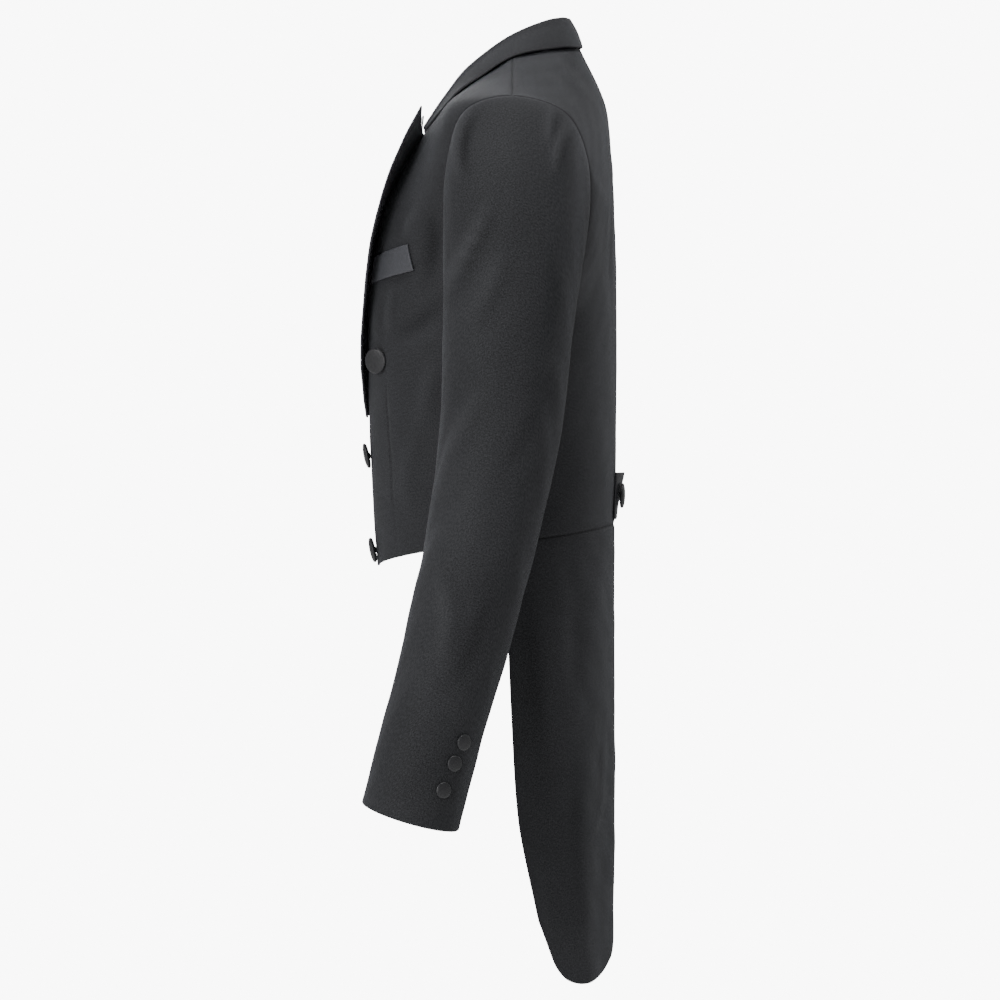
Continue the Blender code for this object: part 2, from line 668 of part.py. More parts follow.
def body_cloths(materials):
    """Left-hand fronts, backs, tails and sleeves, sharing their seam points."""
    wool = materials["suiting"]
    front = Cloth("front_left", front_points(ACROSS[None, :], BODY_LEVELS[:, None]), CLOTH, wool)
    dart(front.points, front.normals)
    back = Cloth("back_left", back_points(ACROSS[None, :], BODY_LEVELS[:, None]), CLOTH, wool,
                 turned=True)
    falls = np.linspace(0, 1, TAIL_STRIPS + 1)
    tail = Cloth("tail_left", tail_points(ACROSS[None, :], falls[:, None]), CLOTH, wool)
    climbs = ARM_LEVELS - UNDERARM_LEVEL
    rounds = np.concatenate([climbs, AROUND - climbs[::-1][1:]])
    rings = np.concatenate([np.linspace(-1, 0, CAP_STRIPS + 1)[:-1],
                            np.linspace(0, len(SLEEVE_RINGS) - 1, ARM_STRIPS + 1)])
    over = rounds[(rounds >= TOP_SLEEVE_FROM) & (rounds <= TOP_SLEEVE_TO)]
    under = np.concatenate([rounds[rounds >= TOP_SLEEVE_TO],
                            rounds[1:][rounds[1:] <= TOP_SLEEVE_FROM] + AROUND])
    sleeves = []
    for name, places in (("top_sleeve_left", over), ("under_sleeve_left", under)):
        points = sleeve_points(places[None, :], rings[:, None])
        outward = grid_normals(points)
        press = sleeve_fold_depth(*np.broadcast_arrays(np.mod(places, AROUND)[None, :],
                                                       rings[:, None]))
        press[:, (0, -1)] = 0
        press[(0, -1), :] = 0
        sleeves.append(Cloth(name, points + outward * press[..., None], CLOTH, wool, turned=True))
    return [front, back, tail] + sleeves


def build():
    """Build the whole jacket."""
    for thing in list(bpy.data.objects):
        bpy.data.objects.remove(thing, do_unlink=True)
    materials = {
        "suiting": make_material("suiting", (0.032, 0.033, 0.036), 0.78),
        "satin": make_material("satin", (0.020, 0.020, 0.022), 0.38),
        "button_satin": make_material("button_satin", (0.026, 0.026, 0.028), 0.45),
    }
    lefts = body_cloths(materials)
    rights = [cloth.mirrored(cloth.name.replace("left", "right")) for cloth in lefts]
    share_seams(lefts)
    share_seams(rights)
    for cloth in lefts + rights:
        cloth.pull_in(ARMHOLE_PULL if "sleeve" in cloth.name else SEAM_PULL)
        cloth.build()
    lapel = Cloth("lapel_left", lapel_points(), SATIN, materials["satin"])
    lapel.build()
    lapel.mirrored("lapel_right").build()
    stations = np.linspace(-6, 6, COLLAR_STATIONS)
    collar = [collar_section(6 - abs(s)) * (1 if s <= 0 else -1, 1, 1) for s in stations]
    Cloth("collar", np.array(collar), CLOTH, materials["suiting"]).build()
    Cloth("breast_welt", welt_points(), SATIN, materials["satin"]).build()
    Cloth("half_belt", belt_points(), SATIN, materials["satin"]).build()
    add_buttons(materials["button_satin"])


def add_buttons(material):
    """Front, cuff and back buttons on both sides."""
    for number, seat in enumerate(FRONT_BUTTONS, 1):
        here, out = surface_seat(front_points, seat.place, seat.level)
        place_pair(f"front_button_{number}", here, out, FRONT_BUTTON_RADIUS, material, seat)
    for number, seat in enumerate(CUFF_BUTTONS, 1):
        here, inward = surface_seat(sleeve_points, seat.place, seat.level)
        place_pair(f"cuff_button_{number}", here, -inward, CUFF_BUTTON_RADIUS, material, seat)
    for seat in BELT_BUTTONS:
        here, inward = surface_seat(back_points, seat.place, seat.level)
        lifted = here - inward * (SATIN + LAY_GAP + BELT_STAND * BELT_BUTTON_STAND)
        place_pair("back_button", lifted, -inward, FRONT_BUTTON_RADIUS, material, seat)


def place_pair(name, here, out, radius, material, seat):
    """The same button on the wearer's left and right."""
    for side, sign in (("left", 1), ("right", -1)):
        flip = np.array([sign, 1, 1])
        add_button(f"{name}_{side}", here * flip, out * flip, radius, material,
                   tip=seat.tip, turn=seat.turn * sign)


build()
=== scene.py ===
"""Dressed model of the tailcoat jacket: fine cloth shells, covered buttons and sewing.

Origin at the neck, X to the wearer's left, -Y to the front, Z up. Tables are in
millimetres, meshes in metres.
"""
import logging
import math
from dataclasses import dataclass, field
from enum import Enum
from typing import Callable, Iterable, NamedTuple, Optional, Sequence

import bmesh
import bpy
import numpy as np
from mathutils import Matrix, Vector


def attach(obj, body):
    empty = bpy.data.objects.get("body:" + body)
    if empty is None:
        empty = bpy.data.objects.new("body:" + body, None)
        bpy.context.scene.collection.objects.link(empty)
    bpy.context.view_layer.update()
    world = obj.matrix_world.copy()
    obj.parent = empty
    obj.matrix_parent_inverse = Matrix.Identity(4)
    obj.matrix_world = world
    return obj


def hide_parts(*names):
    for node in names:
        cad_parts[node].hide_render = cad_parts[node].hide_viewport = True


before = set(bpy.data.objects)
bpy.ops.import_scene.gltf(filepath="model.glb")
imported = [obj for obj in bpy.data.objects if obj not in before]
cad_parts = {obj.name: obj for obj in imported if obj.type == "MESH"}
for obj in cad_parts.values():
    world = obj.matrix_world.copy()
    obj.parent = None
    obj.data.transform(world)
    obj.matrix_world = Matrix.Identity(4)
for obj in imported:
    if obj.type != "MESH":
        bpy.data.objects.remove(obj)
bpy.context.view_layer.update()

LOG = logging.getLogger("tailcoat")
MM = 0.001
ROOT = "root"
CLOTH_WALL = 2.0
SATIN_WALL = 1.8
LAY_GAP = 0.35
UNDERARM = 3.0
NECK = 8.0
SHOULDER = 9.0
AROUND = 12.0
NEAR_REACH = 1.25
MITRE_LIMIT = 0.62
FAR = 1000.0
BELT_STAND = 6.2
SLOPE_STEP = 0.01
WHITE = (1.0, 1.0, 1.0, 1.0)


class Point(NamedTuple):
    """Place in millimetres."""

    x: float
    y: float
    z: float


class Side(Enum):
    """Which side of the wearer a piece is on."""

    LEFT = 1
    RIGHT = -1


class Border(Enum):
    """How a border of a cloth piece is finished."""

    SEWN = "rolled into a seam"
    TURNED = "turned in and pressed"


class Rim(Enum):
    """A border of a grid: whether it is a column and whether it is the last one."""

    FIRST_ROW = (False, False)
    LAST_ROW = (False, True)
    FIRST_COLUMN = (True, False)
    LAST_COLUMN = (True, True)


class Run(NamedTuple):
    """A run of stitches beside a border: distance off it and shares where it starts and ends."""

    rim: Rim
    distance: float
    start: float
    end: float


class Seen(Enum):
    """What the places of a crease are measured in."""

    SIDE = "depth and height as seen from the wearer's left"
    CUT = "distance across and down the cut piece"


class Held(Enum):
    """How a sheet of cloth is held."""

    DRAPED = "draped"
    HUNG = "hung"
    FOLDED = "folded"
    STRETCHED = "stretched"


def linked(name: str, data: bpy.types.ID) -> bpy.types.Object:
    """Put some data in the scene.

    Args:
        name: name of the object.
        data: its mesh, camera or light.

    Returns:
        The new object.
    """
    thing = bpy.data.objects.new(name, data)
    bpy.context.scene.collection.objects.link(thing)
    return thing


def shade_smooth(mesh: bpy.types.Mesh) -> None:
    """Shade every face of a mesh smooth."""
    mesh.polygons.foreach_set("use_smooth", np.full(len(mesh.polygons), True))


def store_values(mesh: bpy.types.Mesh, name: str, values: np.ndarray) -> None:
    """Keep a number at each vertex of a mesh, for its material."""
    store = mesh.attributes.new(name, "FLOAT", "POINT")
    store.data.foreach_set("value", values.astype(np.float32))


def through(values: Sequence, at: np.ndarray) -> np.ndarray:
    """Smooth curve through a table's rows, whose places are 0, 1, 2 and so on.

    Args:
        values: one row a place.
        at: the places wanted.

    Returns:
        The curve's values there.
    """
    table = np.asarray(values, float)
    at = np.clip(np.asarray(at, float), 0, len(table) - 1)
    slopes = np.gradient(table, axis=0)
    low = np.clip(at.astype(int), 0, len(table) - 2)
    t = at - low
    if table.ndim > 1:
        t = t[..., None]
    return ((2 * t ** 3 - 3 * t ** 2 + 1) * table[low]
            + (t ** 3 - 2 * t ** 2 + t) * slopes[low]
            + (3 * t ** 2 - 2 * t ** 3) * table[low + 1]
            + (t ** 3 - t ** 2) * slopes[low + 1])


def by_place(places: Sequence[float], values: Sequence, at: np.ndarray) -> np.ndarray:
    """Smooth curve through values given at uneven places.

    Args:
        places: where each value holds.
        values: one row a place.
        at: the places wanted.

    Returns:
        The curve's values there.
    """
    spots = np.asarray(places, float)
    order = np.argsort(spots)
    index = np.interp(at, spots[order], np.arange(len(spots)))
    return through(np.asarray(values, float)[order], index)


def pulled(start: np.ndarray, off: np.ndarray, onto: np.ndarray, end: np.ndarray,
           place: np.ndarray) -> np.ndarray:
    """Cubic curve between two points with a pull at each.

    Args:
        start: where it starts.
        off: the pull at the start.
        onto: the pull at the end.
        end: where it ends.
        place: share of the way, 0 to 1.

    Returns:
        Points of the curve.
    """
    t = place[..., None]
    return ((1 - t) ** 3 * start + 3 * (1 - t) ** 2 * t * (start + off)
            + 3 * (1 - t) * t ** 2 * (end + onto) + t ** 3 * end)


def smooth_step(value: np.ndarray) -> np.ndarray:
    """Ease from 0 to 1 as value goes from 0 to 1."""
    t = np.clip(value, 0, 1)
    return t * t * (3 - 2 * t)


def unit(vectors: np.ndarray) -> np.ndarray:
    """Vectors of length one."""
    return vectors / np.maximum(np.linalg.norm(vectors, axis=-1, keepdims=True), 1e-9)


def grid_normals(points: np.ndarray) -> np.ndarray:
    """Unit normals of a grid of points."""
    return unit(np.cross(np.gradient(points, axis=1), np.gradient(points, axis=0)))


def patch(rows: np.ndarray, columns: np.ndarray,
          spot: Callable[[float, float], np.ndarray]) -> np.ndarray:
    """Grid of the points that a function gives for each row and column."""
    return np.array([[spot(row, column) for column in columns] for row in rows])


class Spacing(NamedTuple):
    """Spacing of a grid's places: the even step and the distances of those near an end."""

    step: float
    near: tuple[float, ...]

    def over(self, low: float, high: float) -> np.ndarray:
        """Places from low to high, evenly spaced inside and closer near both ends.

        Args:
            low: first place.
            high: last place.

        Returns:
            The places, rising.
        """
        near = np.asarray(self.near)
        inner = np.linspace(low, high, max(3, int(round((high - low) / self.step)) + 1))
        reach = near.max() * NEAR_REACH
        inner = inner[(inner > low + reach) & (inner < high - reach)]
        return np.concatenate([[low], low + near, inner, high - near[::-1], [high]])


class FrontRow(NamedTuple):
    """A level of the front: its edge and the pulls off it and onto the side."""

    edge: Point
    off_edge: Point
    onto_side: Point


class BackRow(NamedTuple):
    """A level of the back: the centre seam and the pulls off it and onto the side."""

    centre_y: float
    centre_z: float
    off_centre: Point
    onto_side: Point


class Wave(NamedTuple):
    """A hanging wave of the tail: place across, width and depth."""

    place: float
    width: float
    depth: float


class TailRow(NamedTuple):
    """A height of the tail: both edges and the pulls between them."""

    z: float
    centre_x: float
    centre_y: float
    front_x: float
    front_y: float
    off_centre: float
    onto_front: float


class SleeveRing(NamedTuple):
    """A ring of the sleeve: its middle, tilt in degrees and half sizes."""

    middle: Point
    tilt: float
    half_depth: float
    half_width: float


class LapelRow(NamedTuple):
    """A station of the lapel: level on the front, outer edge and belly of the cloth."""

    level: float
    outer: Point
    belly: float


class CollarRow(NamedTuple):
    """A station of the collar from the notch to the centre back."""

    seam: Point
    roll: Point
    edge: Point


@dataclass(frozen=True)
class BodyCut:
    """Fronts, backs and armholes."""

    fronts: tuple[FrontRow, ...] = (
        FrontRow(Point(30.0, -119.7, -453.0), Point(50, -1.0, 6), Point(0, -62, -5)),
        FrontRow(Point(30.0, -123.8, -395.0), Point(52, -1.0, 3), Point(0, -66, 0)),
        FrontRow(Point(31.0, -126.6, -335.0), Point(54, -1.5, 2), Point(0, -72, 0)),
        FrontRow(Point(38.0, -127.8, -268.0), Point(54, -1.5, 2), Point(-1, -76, 0)),
        FrontRow(Point(43.0, -128.0, -232.0), Point(54, -1.0, 2), Point(-5, -42, 0)),
        FrontRow(Point(49.0, -124.5, -190.0), Point(52, 0.0, 2), Point(-13, -32, 0)),
        FrontRow(Point(56.0, -114.5, -138.0), Point(50, 4.0, 2), Point(-14, -30, 0)),
        FrontRow(Point(62.0, -93.0, -92.0), Point(46, 8.0, 2), Point(-20, -16, 4)),
        FrontRow(Point(68.0, -55.0, -38.0), Point(44, 4.0, -2), Point(-34, -24, 10)),
        FrontRow(Point(72.0, 0.0, 5.0), Point(48, 0.0, -10), Point(-48, 0, 12)),
    )
    backs: tuple[BackRow, ...] = (
        BackRow(91.0, -415.5, Point(70, 3, 0), Point(0, 58, 4)),
        BackRow(92.3, -365.0, Point(72, 3, 0), Point(0, 62, 2)),
        BackRow(93.2, -300.0, Point(76, 0, 0), Point(0, 60, 0)),
        BackRow(93.4, -240.0, Point(80, 0, 0), Point(0, 62, 0)),
        BackRow(93.0, -195.0, Point(80, 0, 0), Point(-8, 28, 0)),
        BackRow(91.8, -150.0, Point(80, 0, 0), Point(-20, 18, 2)),
        BackRow(88.6, -95.0, Point(78, 2, -2), Point(-26, 16, 4)),
        BackRow(81.8, -38.0, Point(74, 6, -8), Point(-40, 14, 6)),
        BackRow(58.2, 15.0, Point(62, 14, -22), Point(-50, 16, 4)),
        BackRow(0.0, 5.0, Point(48, 0, -10), Point(-48, 0, 12)),
    )
    side_seam: tuple[Point, ...] = (
        Point(150.0, -5.0, -431.5),
        Point(152.0, -4.0, -372.0),
        Point(163.0, -1.0, -300.0),
        Point(174.0, 2.0, -235.0),
    )
    armhole: tuple[Point, ...] = (
        Point(174.0, 2.0, -235.0),
        Point(172.0, -27.0, -222.0),
        Point(172.5, -44.0, -184.0),
        Point(179.0, -49.0, -135.0),
        Point(190.0, -52.6, -88.5),
        Point(204.5, -40.0, -49.0),
        Point(214.5, 0.0, -37.5),
        Point(206.0, 46.0, -51.5),
        Point(196.0, 65.3, -90.0),
        Point(189.0, 67.5, -135.0),
        Point(184.0, 58.0, -184.0),
        Point(179.0, 33.0, -222.0),
    )
    back_neck: tuple[Point, ...] = (
        Point(0.2, 58.2, 15.0),
        Point(30.0, 53.5, 14.4),
        Point(56.0, 35.0, 11.6),
        Point(72.0, 0.0, 5.0),
    )
    centre_half_gap: float = 0.2
    dart_place: float = 0.33
    dart_half_width: float = 0.012
    dart_depth: float = 1.1
    dart_top: float = 2.7
    dart_fade: float = 0.7
    dart_slant: float = 0.014
    dart_sharpness: float = 1.4
    dart_hem_share: float = 0.35
    dart_hem_level: float = 0.3

    def around_armhole(self, place: np.ndarray) -> np.ndarray:
        """Points of the armhole.

        Args:
            place: 12 places once around.

        Returns:
            Points in millimetres.
        """
        table = np.asarray(self.armhole)
        closed = np.concatenate([table[-2:], table, table[:3]])
        return through(closed, np.mod(place, AROUND) + 2)

    def side_edge(self, level: np.ndarray, toward_back: bool) -> np.ndarray:
        """Side seam below the underarm and armhole above it.

        Args:
            level: levels wanted.
            toward_back: whether the armhole is followed up the back.

        Returns:
            Points of the edge.
        """
        level = np.asarray(level, float)
        seam = through(self.side_seam, level)
        climb = np.clip(level - UNDERARM, 0, None)
        hole = self.around_armhole(AROUND - climb if toward_back else climb)
        return np.where((level <= UNDERARM)[..., None], seam, hole)

    def side_pull(self, pulls: Sequence[Point], level: np.ndarray, toward_back: bool) -> np.ndarray:
        """Point that the cloth aims at before the side edge, without the underarm's corner.

        Args:
            pulls: pull onto the side edge, one a level.
            level: levels wanted.
            toward_back: whether it is the back's side edge.

        Returns:
            Points in millimetres.
        """
        rows = np.arange(len(pulls))
        return through(self.side_edge(rows, toward_back) + np.asarray(pulls, float), level)

    def front(self, place: np.ndarray, level: np.ndarray) -> np.ndarray:
        """Middle surface of the left front.

        Args:
            place: 0 at the front edge to 1 at the side seam or armhole.
            level: 0 at the hem to 9 at the shoulder seam.

        Returns:
            Points in millimetres.
        """
        place, level = np.broadcast_arrays(np.asarray(place, float), np.asarray(level, float))
        edge = through([row.edge for row in self.fronts], level)
        off = through([row.off_edge for row in self.fronts], level)
        side = self.side_edge(level, False)
        onto = self.side_pull([row.onto_side for row in self.fronts], level, False) - side
        return pulled(edge, off, onto, side, place)

    def back(self, place: np.ndarray, level: np.ndarray) -> np.ndarray:
        """Middle surface of the left back.

        Args:
            place: 0 at the centre seam to 1 at the side seam or armhole.
            level: 0 at the waist to 9 at the shoulder seam.

        Returns:
            Points in millimetres.
        """
        place, level = np.broadcast_arrays(np.asarray(place, float), np.asarray(level, float))
        rows = [(self.centre_half_gap, row.centre_y, row.centre_z) for row in self.backs[:-1]]
        neck = through(self.back_neck,
                       np.clip(level - NECK, 0, 1) * (len(self.back_neck) - 1))
        start = np.where((level <= NECK)[..., None], through(rows, level), neck)
        off = through([row.off_centre for row in self.backs], level)
        side = self.side_edge(level, True)
        onto = self.side_pull([row.onto_side for row in self.backs], level, True) - side
        return pulled(start, off, onto, side, place)

    def dart(self, place: np.ndarray, level: np.ndarray) -> np.ndarray:
        """How far the sewn dart draws the front in.

        Args:
            place: places across the front.
            level: levels up the front.

        Returns:
            Depth in millimetres.
        """
        line = self.dart_place + self.dart_slant * (self.dart_top - level)
        miss = np.abs(place - line) / self.dart_half_width
        fade = smooth_step((self.dart_top - level) / self.dart_fade)
        hem = self.dart_hem_share
        fade = fade * (hem + (1 - hem) * smooth_step(level - self.dart_hem_level))
        return self.dart_depth * np.exp(-(miss * self.dart_sharpness) ** 2) * fade


@dataclass(frozen=True)
class TailCut:
    """The tails, hanging from the backs' waist seam."""

    rows: tuple[TailRow, ...] = (
        TailRow(-417.0, 0.2, 91.0, 150.0, -5.0, 70, 52),
        TailRow(-484.0, 0.5, 91.2, 152.0, -4.5, 72, 54),
        TailRow(-592.0, 1.5, 91.3, 147.0, -0.6, 74, 50),
        TailRow(-682.0, 3.5, 91.2, 136.0, 5.6, 70, 42),
        TailRow(-761.0, 6.5, 90.0, 120.0, 21.5, 60, 32),
        TailRow(-830.0, 9.5, 88.0, 101.0, 37.0, 50, 24),
    )
    hem: tuple[tuple[float, float], ...] = (
        (0.0, -772.0), (0.1, -797.0), (0.25, -815.0), (0.45, -823.5),
        (0.65, -826.8), (0.82, -822.0), (0.93, -808.0), (1.0, -770.0),
    )
    waves: tuple[Wave, ...] = (
        Wave(0.12, 0.07, 1.8), Wave(0.33, 0.10, -1.6), Wave(0.56, 0.08, 1.5),
        Wave(0.80, 0.09, -1.4),
    )
    wave_growth: float = 1.5
    wave_delay: float = 0.2
    wave_sideways: float = 0.5
    lead_power: int = 3

    def section(self, place: np.ndarray, height: np.ndarray) -> np.ndarray:
        """Level curve from the centre back edge to the front edge.

        Args:
            place: share of the way across.
            height: height of each point.

        Returns:
            Points in millimetres.
        """
        heights = [row.z for row in self.rows]

        def column(pick: Callable[[TailRow], float]) -> np.ndarray:
            """One column of the table at the heights wanted."""
            return by_place(heights, [pick(row) for row in self.rows], height)

        zero = np.zeros_like(height)
        start = np.stack([column(lambda r: r.centre_x), column(lambda r: r.centre_y), height], -1)
        end = np.stack([column(lambda r: r.front_x), column(lambda r: r.front_y), height], -1)
        off = np.stack([column(lambda r: r.off_centre), zero, zero], -1)
        onto = np.stack([zero, column(lambda r: r.onto_front), zero], -1)
        return pulled(start, off, onto, end, place)

    def surface(self, body: BodyCut, place: np.ndarray, fall: np.ndarray) -> np.ndarray:
        """Middle surface of the left tail.

        Args:
            body: the body that it hangs from.
            place: 0 at the centre back edge to 1 at the front edge.
            fall: 0 at the waist seam to 1 at the hem.

        Returns:
            Points in millimetres.
        """
        place, fall = np.broadcast_arrays(np.asarray(place, float), np.asarray(fall, float))
        waist = body.back(place, np.zeros_like(place))
        low = by_place([p for p, _ in self.hem], [z for _, z in self.hem], place)
        height = waist[..., 2] + (low - waist[..., 2]) * fall
        settled = self.section(place, height)
        lead = waist - self.section(place, waist[..., 2])
        settled = settled + lead * ((1 - fall) ** self.lead_power)[..., None]
        grown = np.clip(fall * self.wave_growth - self.wave_delay, 0, 1)
        for wave in self.waves:
            swell = np.exp(-((place - wave.place) / wave.width) ** 2) * wave.depth * grown
            settled[..., 1] += swell * (1 - self.wave_sideways * place)
            settled[..., 0] += swell * self.wave_sideways * place
        return settled


@dataclass(frozen=True)
class SleeveCut:
    """Two-piece set-in sleeves."""

    rings: tuple[SleeveRing, ...] = (
        SleeveRing(Point(231.0, -5.0, -262.0), 2.0, 55.6, 50.0),
        SleeveRing(Point(236.0, -7.8, -305.0), 6.0, 53.9, 48.5),
        SleeveRing(Point(240.5, -12.5, -350.0), 9.0, 52.1, 47.0),
        SleeveRing(Point(245.0, -21.0, -395.0), 12.0, 49.5, 45.5),
        SleeveRing(Point(249.5, -30.6, -444.0), 14.5, 47.5, 44.0),
        SleeveRing(Point(254.0, -44.6, -502.0), 15.0, 46.3, 42.5),
        SleeveRing(Point(257.5, -61.3, -565.0), 15.0, 43.9, 41.0),
        SleeveRing(Point(260.0, -74.7, -613.0), 15.2, 43.6, 40.0),
        SleeveRing(Point(262.0, -89.8, -672.5), 15.8, 43.4, 39.0),
    )
    cuff_dip: float = 6.5
    dip_power: int = 4
    front_seam: float = 2.5
    back_seam: float = 9.5
    cap_reach: tuple[float, float] = (0.62, 0.95)
    front_spread: float = 0.52
    back_spread: float = 0.05
    cap_drop: float = 0.32
    slope_step: float = 0.1

    def arm(self, around: np.ndarray, ring: np.ndarray) -> np.ndarray:
        """Middle surface below the armpit.

        Args:
            around: 0 at the inside, 3 at the front, 6 outside, 9 at the back.
            ring: 0 at the armpit to 8 at the cuff.

        Returns:
            Points in millimetres.
        """
        around, ring = np.broadcast_arrays(np.asarray(around, float), np.asarray(ring, float))
        middle = through([row.middle for row in self.rings], ring)
        tilt = np.radians(through([row.tilt for row in self.rings], ring))
        depth = through([row.half_depth for row in self.rings], ring)
        width = through([row.half_width for row in self.rings], ring)
        angle = around * math.tau / AROUND
        backward = -np.sin(angle) * depth
        last = len(self.rings) - 1
        dip = self.cuff_dip * np.cos(angle) * np.clip(ring / last, 0, 1) ** self.dip_power
        return middle + np.stack([-np.cos(angle) * width, backward * np.cos(tilt),
                                  dip - backward * np.sin(tilt)], -1)

    def surface(self, body: BodyCut, around: np.ndarray, ring: np.ndarray) -> np.ndarray:
        """Middle surface of the left sleeve.

        Args:
            body: the body whose armhole it is set in.
            around: 12 places once around, 0 at the inside.
            ring: -1 at the armhole, 0 at the armpit, 8 at the cuff.

        Returns:
            Points in millimetres.
        """
        around, ring = np.broadcast_arrays(np.asarray(around, float), np.asarray(ring, float))
        hole = body.around_armhole(around)
        armpit = self.arm(around, np.zeros_like(ring))
        angle = around * math.tau / AROUND
        forward = np.sin(angle)
        spread = np.where(forward > 0, self.front_spread, self.back_spread)
        leave = unit(np.stack([np.ones_like(angle), -forward * spread,
                               np.full_like(angle, -self.cap_drop)], -1))
        arrive = unit(self.arm(around, np.full_like(ring, self.slope_step)) - armpit)
        reach = np.linalg.norm(armpit - hole, axis=-1, keepdims=True)
        t = np.clip(ring + 1, 0, 1)[..., None]
        cap = ((2 * t ** 3 - 3 * t ** 2 + 1) * hole
               + (t ** 3 - 2 * t ** 2 + t) * leave * reach * self.cap_reach[0]
               + (3 * t ** 2 - 2 * t ** 3) * armpit
               + (t ** 3 - t ** 2) * arrive * reach * self.cap_reach[1])
        return np.where((ring <= 0)[..., None], cap, self.arm(around, np.clip(ring, 0, None)))


@dataclass(frozen=True)
class LapelCut:
    """Peaked lapel facings."""

    rows: tuple[LapelRow, ...] = (
        LapelRow(2.25, Point(34.5, -130.2, -320.0), 0.6),
        LapelRow(2.55, Point(47.0, -132.8, -301.0), 1.8),
        LapelRow(2.95, Point(61.0, -135.0, -274.0), 2.6),
        LapelRow(3.75, Point(78.0, -134.2, -240.0), 2.8),
        LapelRow(4.65, Point(95.0, -130.6, -200.0), 2.8),
        LapelRow(5.50, Point(113.0, -124.4, -157.0), 3.0),
        LapelRow(6.30, Point(129.0, -112.6, -113.0), 3.0),
        LapelRow(7.00, Point(141.5, -96.6, -73.6), 2.8),
        LapelRow(7.47, Point(151.0, -80.4, -43.8), 2.2),
    )
    inside: float = 12.0
    turn_steps: int = 9
    belly_skew: float = 1.6

    def surface(self, body: BodyCut, across: np.ndarray, climb: np.ndarray) -> np.ndarray:
        """Middle surface of the left facing, which wraps the front's edge at the roll.

        Args:
            body: the body whose roll line it follows.
            across: 0 beside the roll line to 1 at the outer edge, one a column.
            climb: row of the table, one a row of the grid.

        Returns:
            Grid of points in millimetres.
        """
        level = through([row.level for row in self.rows], climb)
        outer = through([row.outer for row in self.rows], climb)
        belly = through([row.belly for row in self.rows], climb)
        forward = np.array([0.0, -1.0, 0.0])
        roll = body.front(np.zeros_like(level), level)
        radius = CLOTH_WALL / 2 + SATIN_WALL / 2 + LAY_GAP
        start = roll + forward * radius
        t = across[None, :, None]
        bow = 4 * t * (1 - t) ** self.belly_skew
        flap = (start[:, None] + (outer - start)[:, None] * t
                + forward * (belly[:, None, None] * bow))
        inward = unit(through([row.off_edge for row in body.fronts], level))
        angles = np.linspace(0, math.pi, self.turn_steps + 1)[:-1]
        turn = [roll - forward * radius * math.cos(a) - inward * radius * math.sin(a)
                for a in angles]
        lead = [roll - forward * radius + inward * d
                for d in np.linspace(self.inside, 0, self.turn_steps)[:-1]]
        return np.concatenate([np.array(lead + turn).transpose(1, 0, 2), flap], 1)


@dataclass(frozen=True)
class CollarCut:
    """Stand and fall of the collar, folded over its roll."""

    rows: tuple[CollarRow, ...] = (
        CollarRow(Point(61.8, -76.0, -62.5), Point(60.8, -79.5, -62.5), Point(92.0, -63.0, -46.0)),
        CollarRow(Point(64.8, -55.0, -38.0), Point(63.0, -59.0, -33.0), Point(98.0, -48.5, -29.9)),
        CollarRow(Point(67.3, -34.0, -18.0), Point(64.5, -38.0, -7.4), Point(100.5, -28.5, -16.3)),
        CollarRow(Point(69.2, 0.0, 4.0), Point(64.5, -4.0, 17.6), Point(97.0, 2.0, 2.3)),
        CollarRow(Point(54.5, 33.0, 10.5), Point(52.0, 27.0, 32.0), Point(73.0, 42.0, 10.0)),
        CollarRow(Point(29.0, 50.6, 13.5), Point(28.5, 43.0, 36.0), Point(42.0, 59.0, 11.6)),
        CollarRow(Point(0.0, 55.5, 14.0), Point(0.0, 47.5, 36.4), Point(0.0, 63.0, 12.4)),
    )
    stand_shares: tuple[float, ...] = (0.0, 0.45, 0.9)
    roll_radius: float = 2.6
    roll_flatness: float = 0.8
    roll_degrees: tuple[float, ...] = (35.0, 80.0, 125.0)
    fall_shares: tuple[float, ...] = (0.12, 0.4, 0.7, 1.0)
    fall_bow: float = 1.0
    fall_rise: float = 0.6

    def section(self, station: float, shares: np.ndarray) -> np.ndarray:
        """Points from the neck seam over the roll to the outer edge.

        Args:
            station: 0 at the notch to 6 at the centre back.
            shares: shares of the way along the section.

        Returns:
            Points in millimetres.
        """
        seam = through([row.seam for row in self.rows], station)
        roll = through([row.roll for row in self.rows], station)
        edge = through([row.edge for row in self.rows], station)
        outward = edge - seam
        outward[2] = 0
        outward /= np.linalg.norm(outward)
        rise = np.array([0.0, 0.0, 1.0])
        points = [seam + (roll - seam) * t for t in self.stand_shares]
        top = roll + outward * self.roll_radius
        for degrees in self.roll_degrees:
            angle = math.radians(degrees)
            points.append(top - outward * self.roll_radius * math.cos(angle)
                          + rise * self.roll_radius * self.roll_flatness * math.sin(angle))
        start = top + outward * self.roll_radius
        for t in self.fall_shares:
            swell = math.sin(math.pi * t)
            points.append(start + (edge - start) * t
                          + outward * self.fall_bow * swell + rise * self.fall_rise * swell)
        table = np.array(points)
        lengths = np.concatenate([[0], np.cumsum(np.linalg.norm(np.diff(table, axis=0), axis=1))])
        return by_place(lengths, table, shares * lengths[-1])

    def surface(self, stations: np.ndarray, shares: np.ndarray) -> np.ndarray:
        """Middle surface of the whole collar.

        Args:
            stations: -6 at the left notch to 6 at the right one.
            shares: shares of the way from the neck seam to the outer edge.

        Returns:
            Grid of points in millimetres.
        """
        last = len(self.rows) - 1
        return np.array([self.section(last - abs(s), shares) * (1 if s <= 0 else -1, 1, 1)
                         for s in stations])


